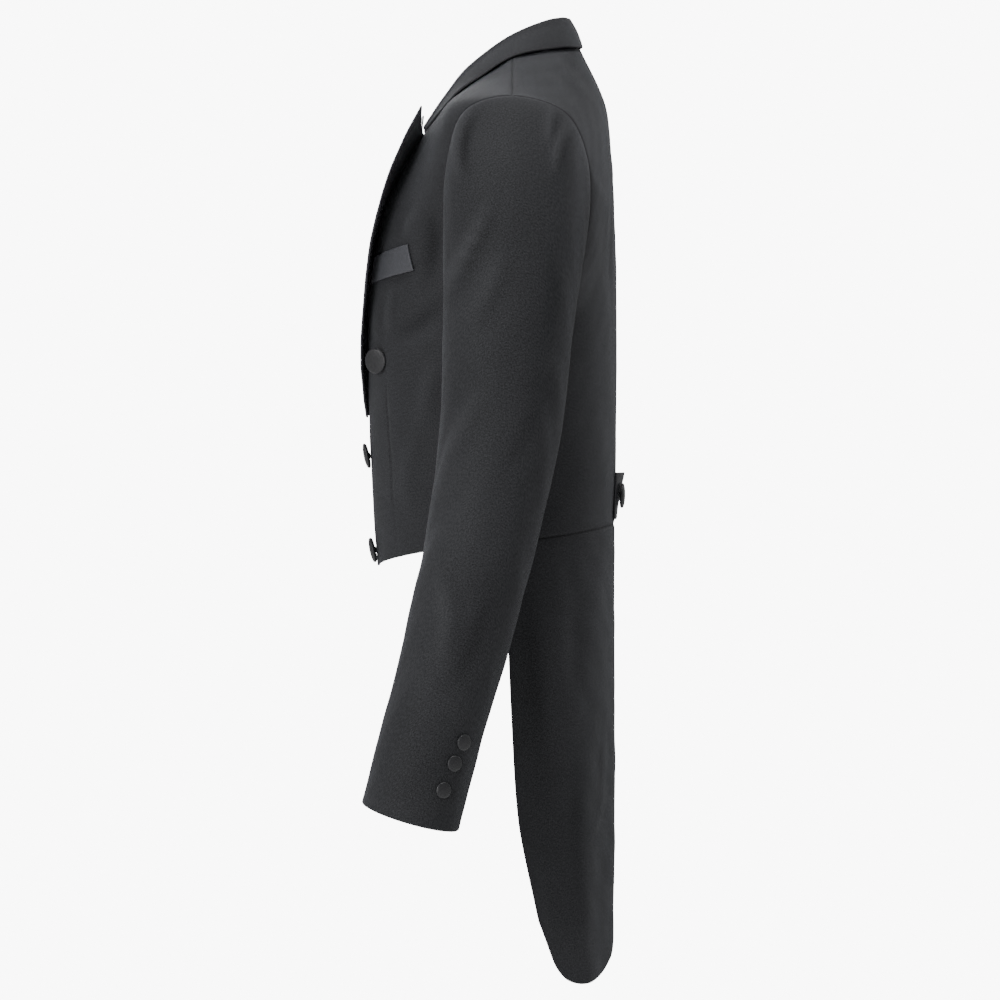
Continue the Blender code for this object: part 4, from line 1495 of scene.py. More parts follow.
@dataclass(frozen=True)
class StitchLine:
    """A run of stitches along a line, made with Geometry Nodes."""

    name: str
    spacing: float = 4.6
    length: float = 1.9
    radius: float = 0.22
    seed: int = 7
    bead: tuple[int, int] = (6, 4)
    size_range: tuple[float, float] = (0.82, 1.08)

    def sizes(self) -> dict[str, float]:
        """Lengths of the stitches in metres, by the names of the tree's inputs."""
        return {"Spacing": self.spacing * MM, "Stitch length": self.length * MM,
                "Thread radius": self.radius * MM}

    def tree(self) -> bpy.types.NodeTree:
        """The stitch tree, built once.

        Returns:
            The node tree, with its sizes as named inputs.
        """
        name = "stitch_run"
        if name in bpy.data.node_groups:
            return bpy.data.node_groups[name]
        tree = bpy.data.node_groups.new(name, "GeometryNodeTree")
        face = tree.interface
        face.new_socket("Line", in_out="INPUT", socket_type="NodeSocketGeometry")
        for key, value in self.sizes().items():
            taken = face.new_socket(key, in_out="INPUT", socket_type="NodeSocketFloat")
            taken.default_value = value
        face.new_socket("Seed", in_out="INPUT", socket_type="NodeSocketInt")
        face.new_socket("Thread", in_out="INPUT", socket_type="NodeSocketMaterial")
        face.new_socket("Stitches", in_out="OUTPUT", socket_type="NodeSocketGeometry")
        bench = ShaderBench(tree)
        given = bench.node("NodeGroupInput").outputs
        curve = bench.node("GeometryNodeMeshToCurve")
        bench.put(given["Line"], curve.inputs["Mesh"])
        spaced = bench.node("GeometryNodeResampleCurve", mode="LENGTH")
        bench.feed(spaced, {"Curve": curve.outputs["Curve"], "Length": given["Spacing"]})
        bead = bench.node("GeometryNodeMeshUVSphere")
        segments, rings = self.bead
        bench.feed(bead, {"Segments": segments, "Rings": rings, "Radius": 1.0})
        scale = bench.node("ShaderNodeCombineXYZ")
        bench.feed(scale, {"X": given["Thread radius"], "Y": given["Thread radius"],
                           "Z": bench.maths("MULTIPLY", given["Stitch length"], 0.5)})
        shaped = bench.node("GeometryNodeTransform")
        bench.feed(shaped, {"Geometry": bead.outputs["Mesh"], "Scale": scale.outputs["Vector"]})
        way = bench.node("GeometryNodeInputTangent")
        turn = bench.node("FunctionNodeAlignRotationToVector", axis="Z")
        bench.put(way.outputs["Tangent"], turn.inputs["Vector"])
        vary = bench.node("FunctionNodeRandomValue", data_type="FLOAT")
        least, most = self.size_range
        bench.feed(vary, {2: least, 3: most, "Seed": given["Seed"]})
        placed = bench.node("GeometryNodeInstanceOnPoints")
        bench.feed(placed, {"Points": spaced.outputs["Curve"],
                            "Instance": shaped.outputs["Geometry"],
                            "Rotation": turn.outputs["Rotation"], "Scale": vary.outputs[1]})
        real = bench.node("GeometryNodeRealizeInstances")
        bench.put(placed.outputs["Instances"], real.inputs["Geometry"])
        dressed = bench.node("GeometryNodeSetMaterial")
        bench.feed(dressed, {"Geometry": real.outputs["Geometry"], "Material": given["Thread"]})
        out = bench.node("NodeGroupOutput")
        bench.put(dressed.outputs["Geometry"], out.inputs["Stitches"])
        return tree

    def build(self, lines: Sequence[np.ndarray]) -> bpy.types.Object:
        """Sew along the lines.

        Args:
            lines: each a run of points in metres.

        Returns:
            A plain mesh of all stitches.
        """
        mesh = bpy.data.meshes.new(self.name + "_lines")
        points: list[tuple] = []
        edges: list[tuple[int, int]] = []
        for line in lines:
            start = len(points)
            points += [tuple(p) for p in line]
            edges += [(start + k, start + k + 1) for k in range(len(line) - 1)]
        mesh.from_pydata(points, edges, [])
        guide = linked(mesh.name, mesh)
        tree = self.tree()
        sewn = guide.modifiers.new("stitches", "NODES")
        sewn.node_group = tree
        keys = {item.name: item.identifier for item in tree.interface.items_tree
                if item.item_type == "SOCKET" and item.in_out == "INPUT"}
        for key, value in {**self.sizes(), "Seed": self.seed,
                           "Thread": ThreadFinish().material()}.items():
            sewn[keys[key]] = value
        view = bpy.context.evaluated_depsgraph_get()
        view.update()
        plain = bpy.data.meshes.new_from_object(guide.evaluated_get(view))
        plain.name = self.name
        guide.modifiers.clear()
        bpy.data.objects.remove(guide, do_unlink=True)
        shade_smooth(plain)
        return linked(self.name, plain)


@dataclass(frozen=True)
class CoveredButton:
    """A button covered in the facing cloth, on a short shank of thread."""

    radius: float
    clear: float = 0.4
    shank_share: float = 0.32
    shank_length: float = 0.07
    leaning_length: float = 0.45
    turn_effect: float = 0.8
    shank_row: float = -0.5
    segments: int = 64
    gathers: int = 22
    gather_depth: float = 0.012
    gather_place: float = 0.06
    gather_width: float = 0.07
    profile: tuple[tuple[float, float], ...] = (
        (0.0, -1.0), (0.16, -1.0), (0.22, -0.8), (0.22, -0.12), (0.30, 0.0), (0.55, -0.01),
        (0.78, 0.0), (0.90, 0.025), (0.97, 0.07), (1.0, 0.12), (0.995, 0.155), (0.965, 0.20),
        (0.91, 0.235), (0.80, 0.27), (0.65, 0.305), (0.48, 0.33), (0.30, 0.345), (0.14, 0.352),
        (0.0, 0.355),
    )

    def build(self, name: str, seat: np.ndarray, normal: np.ndarray, tip: float,
              turn: float) -> bpy.types.Object:
        """Make the button.

        Args:
            name: the piece's name.
            seat: point of the cloth's middle under it, millimetres.
            normal: way out of the cloth there.
            tip: degrees that its upper edge tips off the cloth.
            turn: degrees that it turns about the upright.

        Returns:
            The new object.
        """
        axis = Vector(normal).normalized()
        side = axis.cross(Vector((0, 0, 1))).normalized()
        axis = Matrix.Rotation(math.radians(turn), 3, "Z") @ axis
        axis = Matrix.Rotation(math.radians(-tip), 3, side) @ axis
        side = axis.cross(Vector((0, 0, 1))).normalized()
        up = side.cross(axis).normalized()
        lean = math.sin(math.radians(abs(tip) + abs(turn) * self.turn_effect))
        stand_off = CLOTH_WALL / 2 + self.clear + self.shank_share * self.radius * lean
        base = Vector(seat) + Vector(normal) * stand_off
        lift = (self.shank_length + self.leaning_length * lean) * self.radius
        base, axis, side, up = (np.array(vector)[None] for vector in (base, axis, side, up))
        angles = (np.arange(self.segments) * math.tau / self.segments)[:, None]
        rings = []
        for share, height in self.profile:
            if height > self.shank_row:
                level = lift + height * self.radius
            else:
                level = max(0.0, lift * (1 + height))
            near_rim = math.exp(-((height - self.gather_place) / self.gather_width) ** 2)
            pucker = 1 + self.gather_depth * np.cos(self.gathers * angles) * near_rim
            reach = share * self.radius * pucker
            rings.append(base + axis * level + np.cos(angles) * reach * side
                         + np.sin(angles) * reach * up)
        return self.cover(name, np.array(rings))

    def cover(self, name: str, grid: np.ndarray) -> bpy.types.Object:
        """Close the rings into one mesh.

        Args:
            name: the piece's name.
            grid: rings of points in millimetres, the first and last each one point.

        Returns:
            The new object.
        """
        body = grid[1:-1]
        rows, columns = body.shape[:2]
        vertices = np.concatenate([body.reshape(-1, 3), grid[0, :1], grid[-1, :1]])
        under, crown = rows * columns, rows * columns + 1
        faces = []
        for i in range(rows - 1):
            for j in range(columns):
                k = (j + 1) % columns
                faces.append((i * columns + j, i * columns + k, (i + 1) * columns + k,
                              (i + 1) * columns + j))
        last = (rows - 1) * columns
        for j in range(columns):
            k = (j + 1) % columns
            faces.append((under, k, j))
            faces.append((last + j, last + k, crown))
        mesh = bpy.data.meshes.new(name)
        mesh.from_pydata([tuple(v) for v in vertices * MM], [], faces)
        flat = vertices - vertices[crown]
        spread = unit(vertices[0] - vertices[columns // 2])
        other = unit(np.cross(spread, unit(vertices[crown] - vertices[under])))
        across, along = flat @ spread, flat @ other
        layer = mesh.uv_layers.new(name="cut")
        for loop in mesh.loops:
            layer.data[loop.index].uv = (across[loop.vertex_index] * MM,
                                         along[loop.vertex_index] * MM)
        distance = np.linalg.norm(np.stack([across, along]), axis=0)
        # nearness to the rim, which the material lightens as wear and a painted highlight
        store_values(mesh, "edge", np.abs(self.radius - distance) * MM)
        store_values(mesh, "seam", np.full_like(distance, FAR) * MM)
        shade_smooth(mesh)
        thing = linked(name, mesh)
        fix_outward(thing)
        thing.data.materials.append(BUTTON_CLOTH.material())
        return thing


def fix_outward(thing: bpy.types.Object) -> None:
    """Turn a closed mesh's faces outwards.

    Args:
        thing: the object whose mesh it is.
    """
    shape = bmesh.new()
    shape.from_mesh(thing.data)
    bmesh.ops.recalc_face_normals(shape, faces=shape.faces)
    if shape.calc_volume(signed=True) < 0:
        bmesh.ops.reverse_faces(shape, faces=shape.faces)
    shape.to_mesh(thing.data)
    shape.free()


def surface_seat(surface: Callable, place: float, level: float) -> tuple[np.ndarray, np.ndarray]:
    """Point of a surface and its direction there.

    Args:
        surface: function of place and level.
        place: first coordinate.
        level: second coordinate.

    Returns:
        The point and the unit direction.
    """
    here, right, left, above, below = (
        surface(np.array(place + aside), np.array(level + ahead))
        for aside, ahead in ((0.0, 0.0), (SLOPE_STEP, 0.0), (-SLOPE_STEP, 0.0),
                             (0.0, SLOPE_STEP), (0.0, -SLOPE_STEP)))
    return here, unit(np.cross(right - left, above - below))


@dataclass(frozen=True)
class Camera:
    """The photograph's view, straight onto the wearer's left side."""

    distance: float = 12.0
    middle_y: float = -0.0108
    middle_z: float = -0.3942
    field_width: float = 0.900
    sensor: float = 36.0
    farthest: float = 60.0

    @classmethod
    def seen(cls, points: np.ndarray) -> tuple[np.ndarray, np.ndarray]:
        """Where points show on the plane through the middle of the garment.

        Args:
            points: places in millimetres.

        Returns:
            Depth and height on that plane, in millimetres.
        """
        view = cls()
        far = view.distance / MM
        nearer = far / (far - points[..., 0])
        mid_y, mid_z = view.middle_y / MM, view.middle_z / MM
        return (mid_y + (points[..., 1] - mid_y) * nearer,
                mid_z + (points[..., 2] - mid_z) * nearer)

    def place(self) -> None:
        """Make the camera and use it."""
        lens = bpy.data.cameras.new("photo_view")
        lens.sensor_width = self.sensor
        lens.lens = self.sensor * self.distance / self.field_width
        lens.clip_end = self.farthest
        thing = linked("photo_view", lens)
        thing.location = (self.distance, self.middle_y, self.middle_z)
        thing.rotation_euler = (math.radians(90), 0.0, math.radians(90))
        bpy.context.scene.camera = thing


@dataclass(frozen=True)
class Lamp:
    """A soft square light, aimed at the garment."""

    name: str
    place: tuple[float, float, float]
    size: float
    power: float

    def put(self, aim: Vector) -> None:
        """Hang the light.

        Args:
            aim: point that it is aimed at.
        """
        light = bpy.data.lights.new(self.name, "AREA")
        light.shape = "SQUARE"
        light.size = self.size
        light.energy = self.power
        thing = linked(self.name, light)
        thing.location = self.place
        way = aim - Vector(self.place)
        thing.rotation_euler = way.to_track_quat("-Z", "Y").to_euler()


@dataclass(frozen=True)
class Studio:
    """Pale floor far below the worn garment, pale surroundings and soft lights."""

    floor_height: float = -1.48
    floor_half: float = 4.0
    surround: float = 0.30
    backdrop: float = 9.0
    floor_glow: float = 3.2
    floor_shades: tuple[float, float] = (0.80, 0.84)
    floor_roughness: float = 0.9
    floor_cloud: float = 3.0
    aim: tuple[float, float, float] = (0.1, 0.0, -0.35)
    lamps: tuple[Lamp, ...] = (
        Lamp("key", (3.05, -1.9, 0.4), 1.4, 56.0),
        Lamp("overhead", (0.6, 0.1, 3.0), 1.0, 70.0),
        Lamp("low_front", (1.6, -3.0, -0.4), 1.4, 8.0),
        Lamp("far_side", (-3.2, -0.4, 0.9), 1.4, 44.0),
        Lamp("rear", (-2.6, 2.6, 1.2), 1.6, 12.0),
    )

    def build(self) -> None:
        """Make the floor, world and lights."""
        half, height = self.floor_half, self.floor_height
        mesh = bpy.data.meshes.new("floor")
        mesh.from_pydata([(-half, -half, height), (half, -half, height), (half, half, height),
                          (-half, half, height)], [], [(0, 1, 2, 3)])
        floor = linked("floor", mesh)
        floor.data.materials.append(self.floor_material())
        world = bpy.data.worlds.new("studio")
        world.use_nodes = True
        shade = world.node_tree.nodes["Background"]
        bench = ShaderBench(world.node_tree)
        straight = bench.node("ShaderNodeLightPath").outputs["Is Camera Ray"]
        bench.feed(shade, {"Color": WHITE, "Strength": bench.maths(
            "MULTIPLY_ADD", straight, self.backdrop - self.surround, self.surround)})
        bpy.context.scene.world = world
        for lamp in self.lamps:
            lamp.put(Vector(self.aim))

    def floor_material(self) -> bpy.types.Material:
        """Pale matt floor, as pale to the camera as the surroundings.

        Returns:
            The material.
        """
        material, bench, shader = new_material("pale_floor")
        place = bench.node("ShaderNodeTexCoord").outputs["Object"]
        dark, light = ((shade, shade, shade, 1.0) for shade in self.floor_shades)
        straight = bench.node("ShaderNodeLightPath").outputs["Is Camera Ray"]
        bench.feed(shader, {
            "Base Color": bench.blend(bench.noise(place, self.floor_cloud), dark, light),
            "Roughness": self.floor_roughness, "Emission Color": WHITE,
            "Emission Strength": bench.maths("MULTIPLY", straight, self.floor_glow)})
        return material


@dataclass
class Garment:
    """A sub-assembly, which hangs its pieces under the root, hides the CAD nodes that they stand
    for and logs them.
    """

    def finish_piece(self, thing: bpy.types.Object, slot: str, nodes: Sequence[str]) -> None:
        """Hang a piece under the root, hide the CAD nodes that it stands for and log it.

        Args:
            thing: the piece.
            slot: material slot; not used.
            nodes: CAD nodes that it stands for.
        """
        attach(thing, ROOT)
        if nodes:
            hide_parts(*nodes)
        LOG.info("%s: %d faces, stands for %s", thing.name, len(thing.data.polygons),
                 ", ".join(nodes) or "no node")

    def sheet_piece(self, shell: Shell, finish: Finish, node: str, held: Held) -> bpy.types.Object:
        """Build a cloth piece and log the size of its cut.

        Args:
            shell: the piece.
            finish: what it is dressed in.
            node: the CAD node that it stands for, empty where it lies inside another's cut.
            held: how it is held; not used.

        Returns:
            The new object.
        """
        thing = shell.build(finish)
        self.finish_piece(thing, finish.slot, [node] if node else [])
        width, length, area = shell.cut_size()
        LOG.info("%s: cut %.0f x %.0f mm, %.4f square metres", node or shell.name,
                 width / MM, length / MM, area)
        return thing


class SleeveFold(NamedTuple):
    """A large fold of the sleeve: places around and rings where it starts and ends."""

    around_start: float
    around_end: float
    ring_start: float
    ring_end: float
    width: float
    depth: float


SLEEVE_FOLDS: tuple[SleeveFold, ...] = (
    SleeveFold(3.4, 4.9, 2.6, 0.9, 0.45, 1.6),
    SleeveFold(3.2, 5.2, 4.2, 2.9, 0.50, 1.2),
    SleeveFold(8.9, 7.4, 2.2, 0.8, 0.50, 1.3),
    SleeveFold(9.3, 7.9, 4.6, 3.6, 0.45, 1.0),
    SleeveFold(3.6, 4.6, 6.2, 5.2, 0.45, 0.9),
    SleeveFold(6.2, 6.4, 0.5, 3.6, 0.55, 0.9),
    SleeveFold(1.2, 0.2, 1.6, 2.6, 0.50, 1.2),
)

TOP_SLEEVE_CREASES: tuple[Crease, ...] = (
    Crease(((36, -40), (33, -56), (31, -76)), 3.6, 1.6, Seen.SIDE, (4, -5), 0.8),
    Crease(((51, -54), (41, -74), (36, -100)), 4.0, 2.0, Seen.SIDE, (-3, 4), 1.2),
    Crease(((-36, -40), (-47, -59), (-51, -84), (-48, -104)), 4.2, 2.0, Seen.SIDE, (3, -6), 0.9,
           0.8),
    Crease(((-20, -126), (-33, -153), (-47, -180), (-60, -210)), 5.0, 1.7, Seen.SIDE, (6, 10), 0.8),
    Crease(((-8, -168), (-24, -205), (-44, -236)), 7.0, 0.8, Seen.SIDE, (4, -14), 1.2),
    Crease(((-34, -296), (-49, -331), (-66, -360)), 7.0, 0.6, Seen.SIDE, (3, 12), 0.7),
    Crease(((28, -300), (8, -345), (-14, -378)), 8.0, -0.5, Seen.SIDE, (-6, -16), 1.1),
    Crease(((34, -172), (38, -214), (30, -262)), 7.0, -0.7, Seen.SIDE, (-8, 10), 1.2),
    Crease(((-70, -455), (-60, -500), (-66, -548)), 7.0, 0.7, Seen.SIDE, (5, 20), 0.8),
    Crease(((-20, -480), (-34, -525), (-52, -560)), 8.0, -0.6, Seen.SIDE, (6, -12), 1.2),
)
UNDER_SLEEVE_CREASES: tuple[Crease, ...] = (
    Crease(((30, 60), (52, 92), (90, 108)), 6.0, 1.3, Seen.CUT, (8, 12), 0.8),
    Crease(((110, 74), (82, 120), (40, 140)), 7.0, -1.2, Seen.CUT, (-6, 8), 1.1),
    Crease(((24, 236), (60, 262), (100, 266)), 7.0, 1.2, Seen.CUT, (6, -14), 0.9),
    Crease(((30, 282), (66, 300), (96, 296)), 6.0, -1.0, Seen.CUT, (0, 10), 1.2),
)
FRONT_CREASES: tuple[Crease, ...] = (
    Crease(((-128, -205), (-121, -198), (-99, -193), (-85, -181)), 4.0, -0.9, Seen.SIDE, (2, -4),
           0.0),
    Crease(((-95, -160), (-91, -144), (-83, -129)), 4.0, 0.8, Seen.SIDE, (0, 0), 0.0),
    Crease(((-119, -208), (-122, -230), (-121, -252)), 3.2, 0.9, Seen.SIDE, (2, -8), 1.1),
    Crease(((-107, -200), (-111, -226), (-110, -246)), 3.6, 0.6, Seen.SIDE, (-2, 6), 0.8),
    Crease(((-72, -132), (-70, -165), (-76, -198)), 8.0, -1.3, Seen.SIDE, (3, 10), 0.8),
    Crease(((-60, -214), (-84, -236), (-106, -246)), 7.0, -0.8, Seen.SIDE, (4, -8), 1.2),
    Crease(((-88, -330), (-98, -372), (-96, -410)), 6.0, 0.5, Seen.SIDE, (6, 10), 1.2),
    Crease(((-66, -262), (-78, -292), (-84, -330)), 7.0, 0.7, Seen.SIDE, (-4, 12), 0.8),
)
BACK_CREASES: tuple[Crease, ...] = (
    Crease(((38, 4), (58, -17), (71, -38)), 4.0, 0.8, Seen.SIDE, (-3, -4), 0.9),
    Crease(((30, -8), (48, -27), (60, -48)), 4.5, 0.7, Seen.SIDE, (3, -6), 1.1),
    Crease(((68, -98), (78, -115), (86, -138)), 4.5, 1.0, Seen.SIDE, (0, 8), 0.8),
    Crease(((72, -146), (79, -180), (83, -218)), 5.0, 1.0, Seen.SIDE, (0, -12), 1.2),
    Crease(((60, 210), (74, 262), (66, 320)), 9.0, -1.0, Seen.CUT, (10, 16), 0.8),
    Crease(((104, 250), (112, 300), (96, 352)), 10.0, 1.0, Seen.CUT, (-8, -10), 1.1),
    Crease(((30, 384), (66, 372), (100, 380)), 8.0, -0.9, Seen.CUT, (6, -8), 0.9),
    Crease(((24, 330), (56, 316), (88, 326)), 9.0, 0.7, Seen.CUT, (8, 6), 1.2),
)
TAIL_CREASES: tuple[Crease, ...] = (
    Crease(((87, -555), (83, -600), (81, -645), (77, -678), (67, -706)), 2.8, 1.0, Seen.SIDE,
           (-2, 12), 0.8),
    Crease(((77, -446), (80, -520), (79, -580)), 6.0, 1.1, Seen.SIDE, (-4, -16), 1.1),
    Crease(((43, -440), (46, -520), (54, -600)), 8.0, 0.8, Seen.SIDE, (5, 20), 0.9),
    Crease(((14, -470), (20, -560), (26, -640)), 9.0, -0.8, Seen.SIDE, (4, -24), 1.2),
    Crease(((62, -620), (58, -690), (60, -760)), 8.0, -0.8, Seen.SIDE, (-4, 18), 0.8),
)


EDGE_RUNS = (Run(Rim.FIRST_COLUMN, 3.4, 0.01, 0.235),)
TAIL_RUNS = (Run(Rim.FIRST_COLUMN, 3.4, 0.02, 0.97), Run(Rim.LAST_COLUMN, 3.4, 0.02, 0.97),
             Run(Rim.LAST_ROW, 3.4, 0.02, 0.98))
LAPEL_RUNS = (Run(Rim.LAST_COLUMN, 3.2, 0.01, 0.985), Run(Rim.LAST_ROW, 3.2, 0.36, 0.97))
COLLAR_RUNS = (Run(Rim.LAST_COLUMN, 3.2, 0.02, 0.98),)
WELT_RUNS = (Run(Rim.LAST_COLUMN, 1.8, 0.04, 0.96), Run(Rim.LAST_COLUMN, 4.2, 0.04, 0.96),
             Run(Rim.FIRST_COLUMN, 1.8, 0.04, 0.96))
BELT_RUNS = (Run(Rim.FIRST_ROW, 2.6, 0.02, 0.98), Run(Rim.LAST_ROW, 2.6, 0.02, 0.98))


@dataclass
class Jacket(Garment):
    """The fronts, backs, tails and sleeves."""

    body: BodyCut = field(default_factory=BodyCut)
    tail: TailCut = field(default_factory=TailCut)
    sleeve: SleeveCut = field(default_factory=SleeveCut)
    fold_fade: float = 0.35
    press_fade: float = 12.0
    dart_steps: tuple[float, ...] = (-1.6, -1.0, -0.6, -0.3, 0.0, 0.3, 0.6, 1.0, 1.6)
    dart_clear: float = 2.2
    seam_near: tuple[float, ...] = (0.0, 0.012, 0.036)
    seam_clear: float = 0.060
    across_spacing: Spacing = Spacing(1 / 76, (0.003, 0.007, 0.013))
    level_spacing: Spacing = Spacing(0.055, (0.010, 0.022, 0.042))
    arm_spacing: Spacing = Spacing(0.075, (0.010, 0.022, 0.042))
    tail_spacing: Spacing = Spacing(1 / 118, (0.0015, 0.0035, 0.0065))
    cap_spacing: Spacing = Spacing(1 / 26, (0.008, 0.02, 0.04))
    ring_spacing: Spacing = Spacing(0.06, (0.012, 0.03, 0.055))

    def across(self) -> np.ndarray:
        """Places across a body panel, closer at its borders and dart.

        Returns:
            The places, rising.
        """
        places = self.across_spacing.over(0.0, 1.0)
        line, half = self.body.dart_place, self.body.dart_half_width
        clear = self.dart_clear * half
        keep = places[(places < line - clear) | (places > line + clear)]
        return np.sort(np.concatenate([keep, line + half * np.array(self.dart_steps)]))

    def arm_levels(self) -> np.ndarray:
        """Levels from the underarm to the shoulder seam."""
        return self.arm_spacing.over(UNDERARM, SHOULDER)

    def levels(self) -> np.ndarray:
        """Levels of the body panels from hem to shoulder seam."""
        low = self.level_spacing.over(0.0, UNDERARM)
        return np.concatenate([low[:-1], self.arm_levels()])

    def rounds(self) -> np.ndarray:
        """Places around the sleeve, matching the levels of the body."""
        climbs = self.arm_levels() - UNDERARM
        return np.concatenate([climbs, AROUND - climbs[::-1][1:]])

    def sleeve_press(self, around: np.ndarray, ring: np.ndarray) -> np.ndarray:
        """The sleeve's largest folds, as in the solids.

        Args:
            around: places around.
            ring: places down.

        Returns:
            Lift in millimetres.
        """
        press = np.zeros(np.broadcast(around, ring).shape)
        turned = np.mod(around, AROUND)
        for fold in SLEEVE_FOLDS:
            span = fold.ring_end - fold.ring_start
            t = np.clip((ring - fold.ring_start) / span, 0, 1)
            beyond = (ring - fold.ring_start - span * t) / self.fold_fade
            line = fold.around_start + (fold.around_end - fold.around_start) * t
            aside = (turned - line) / fold.width
            press = press + fold.depth * np.exp(-aside ** 2 - beyond ** 2)
        return press

    def panels(self, side: Side) -> list[Shell]:
        """Fronts, backs, tails and sleeves of one side.

        Args:
            side: side of the wearer.

        Returns:
            The shells.
        """
        word = side.name.lower()
        across, levels = self.across()[None], self.levels()[:, None]
        falls = self.tail_spacing.over(0.0, 1.0)[:, None]
        front = Shell(f"cloth_front_{word}", self.body.front(across, levels), CLOTH_WALL,
                      FRONT_BORDERS, 1, side, FRONT_CREASES, phase=0.4,
                      press=-self.body.dart(across, levels))
        back = Shell(f"cloth_back_{word}", self.body.back(across, levels), CLOTH_WALL,
                     ALL_SEWN, -1, side, BACK_CREASES, phase=1.9)
        tail = Shell(f"cloth_tail_{word}", self.tail.surface(self.body, across, falls), CLOTH_WALL,
                     TAIL_BORDERS, 1, side, TAIL_CREASES, phase=3.1, uneven=1.6)
        return [front, back, tail] + self.sleeves(side)

    def sleeves(self, side: Side) -> list[Shell]:
        """Top and under sleeve of one side.

        Args:
            side: side of the wearer.

        Returns:
            The shells.
        """
        cut, rounds = self.sleeve, self.rounds()
        near, clear = np.array(self.seam_near), self.seam_clear
        front, back = cut.front_seam, cut.back_seam
        overlap = len(self.cap_spacing.near)
        rings = np.concatenate([
            self.cap_spacing.over(-1.0, 0.0)[:-overlap],
            self.ring_spacing.over(0.0, len(cut.rings) - 1.0)[overlap:]])
        rings = np.unique(np.round(rings, 5))
        over = np.concatenate([
            front + near, rounds[(rounds > front + clear) & (rounds < back - clear)],
            back - near[::-1]])
        under = np.concatenate([
            back + near, rounds[(rounds > back + clear) & (rounds < AROUND - 1e-6)],
            rounds[rounds < front - clear] + AROUND, AROUND + front - near[::-1]])
        made = []
        for name, places, creases, phase in (
                ("cloth_top_sleeve", over, TOP_SLEEVE_CREASES, 2.3),
                ("cloth_under_sleeve", under, UNDER_SLEEVE_CREASES, 4.4)):
            shell = Shell(f"{name}_{side.name.lower()}",
                          cut.surface(self.body, places[None], rings[:, None]), CLOTH_WALL,
                          SLEEVE_BORDERS, -1, side, creases, phase)
            fade = 1.0
            for border in Border:
                fade = fade * smooth_step(shell.border_distance(border) / self.press_fade)
            shell.press = -self.sleeve_press(places[None], rings[:, None]) * fade
            made.append(shell)
        return made


@dataclass(frozen=True)
class ButtonSeat:
    """Where a button sits: grid place, tip of its upper edge and turn."""

    place: float
    level: float
    tip: float = 0.0
    turn: float = 0.0


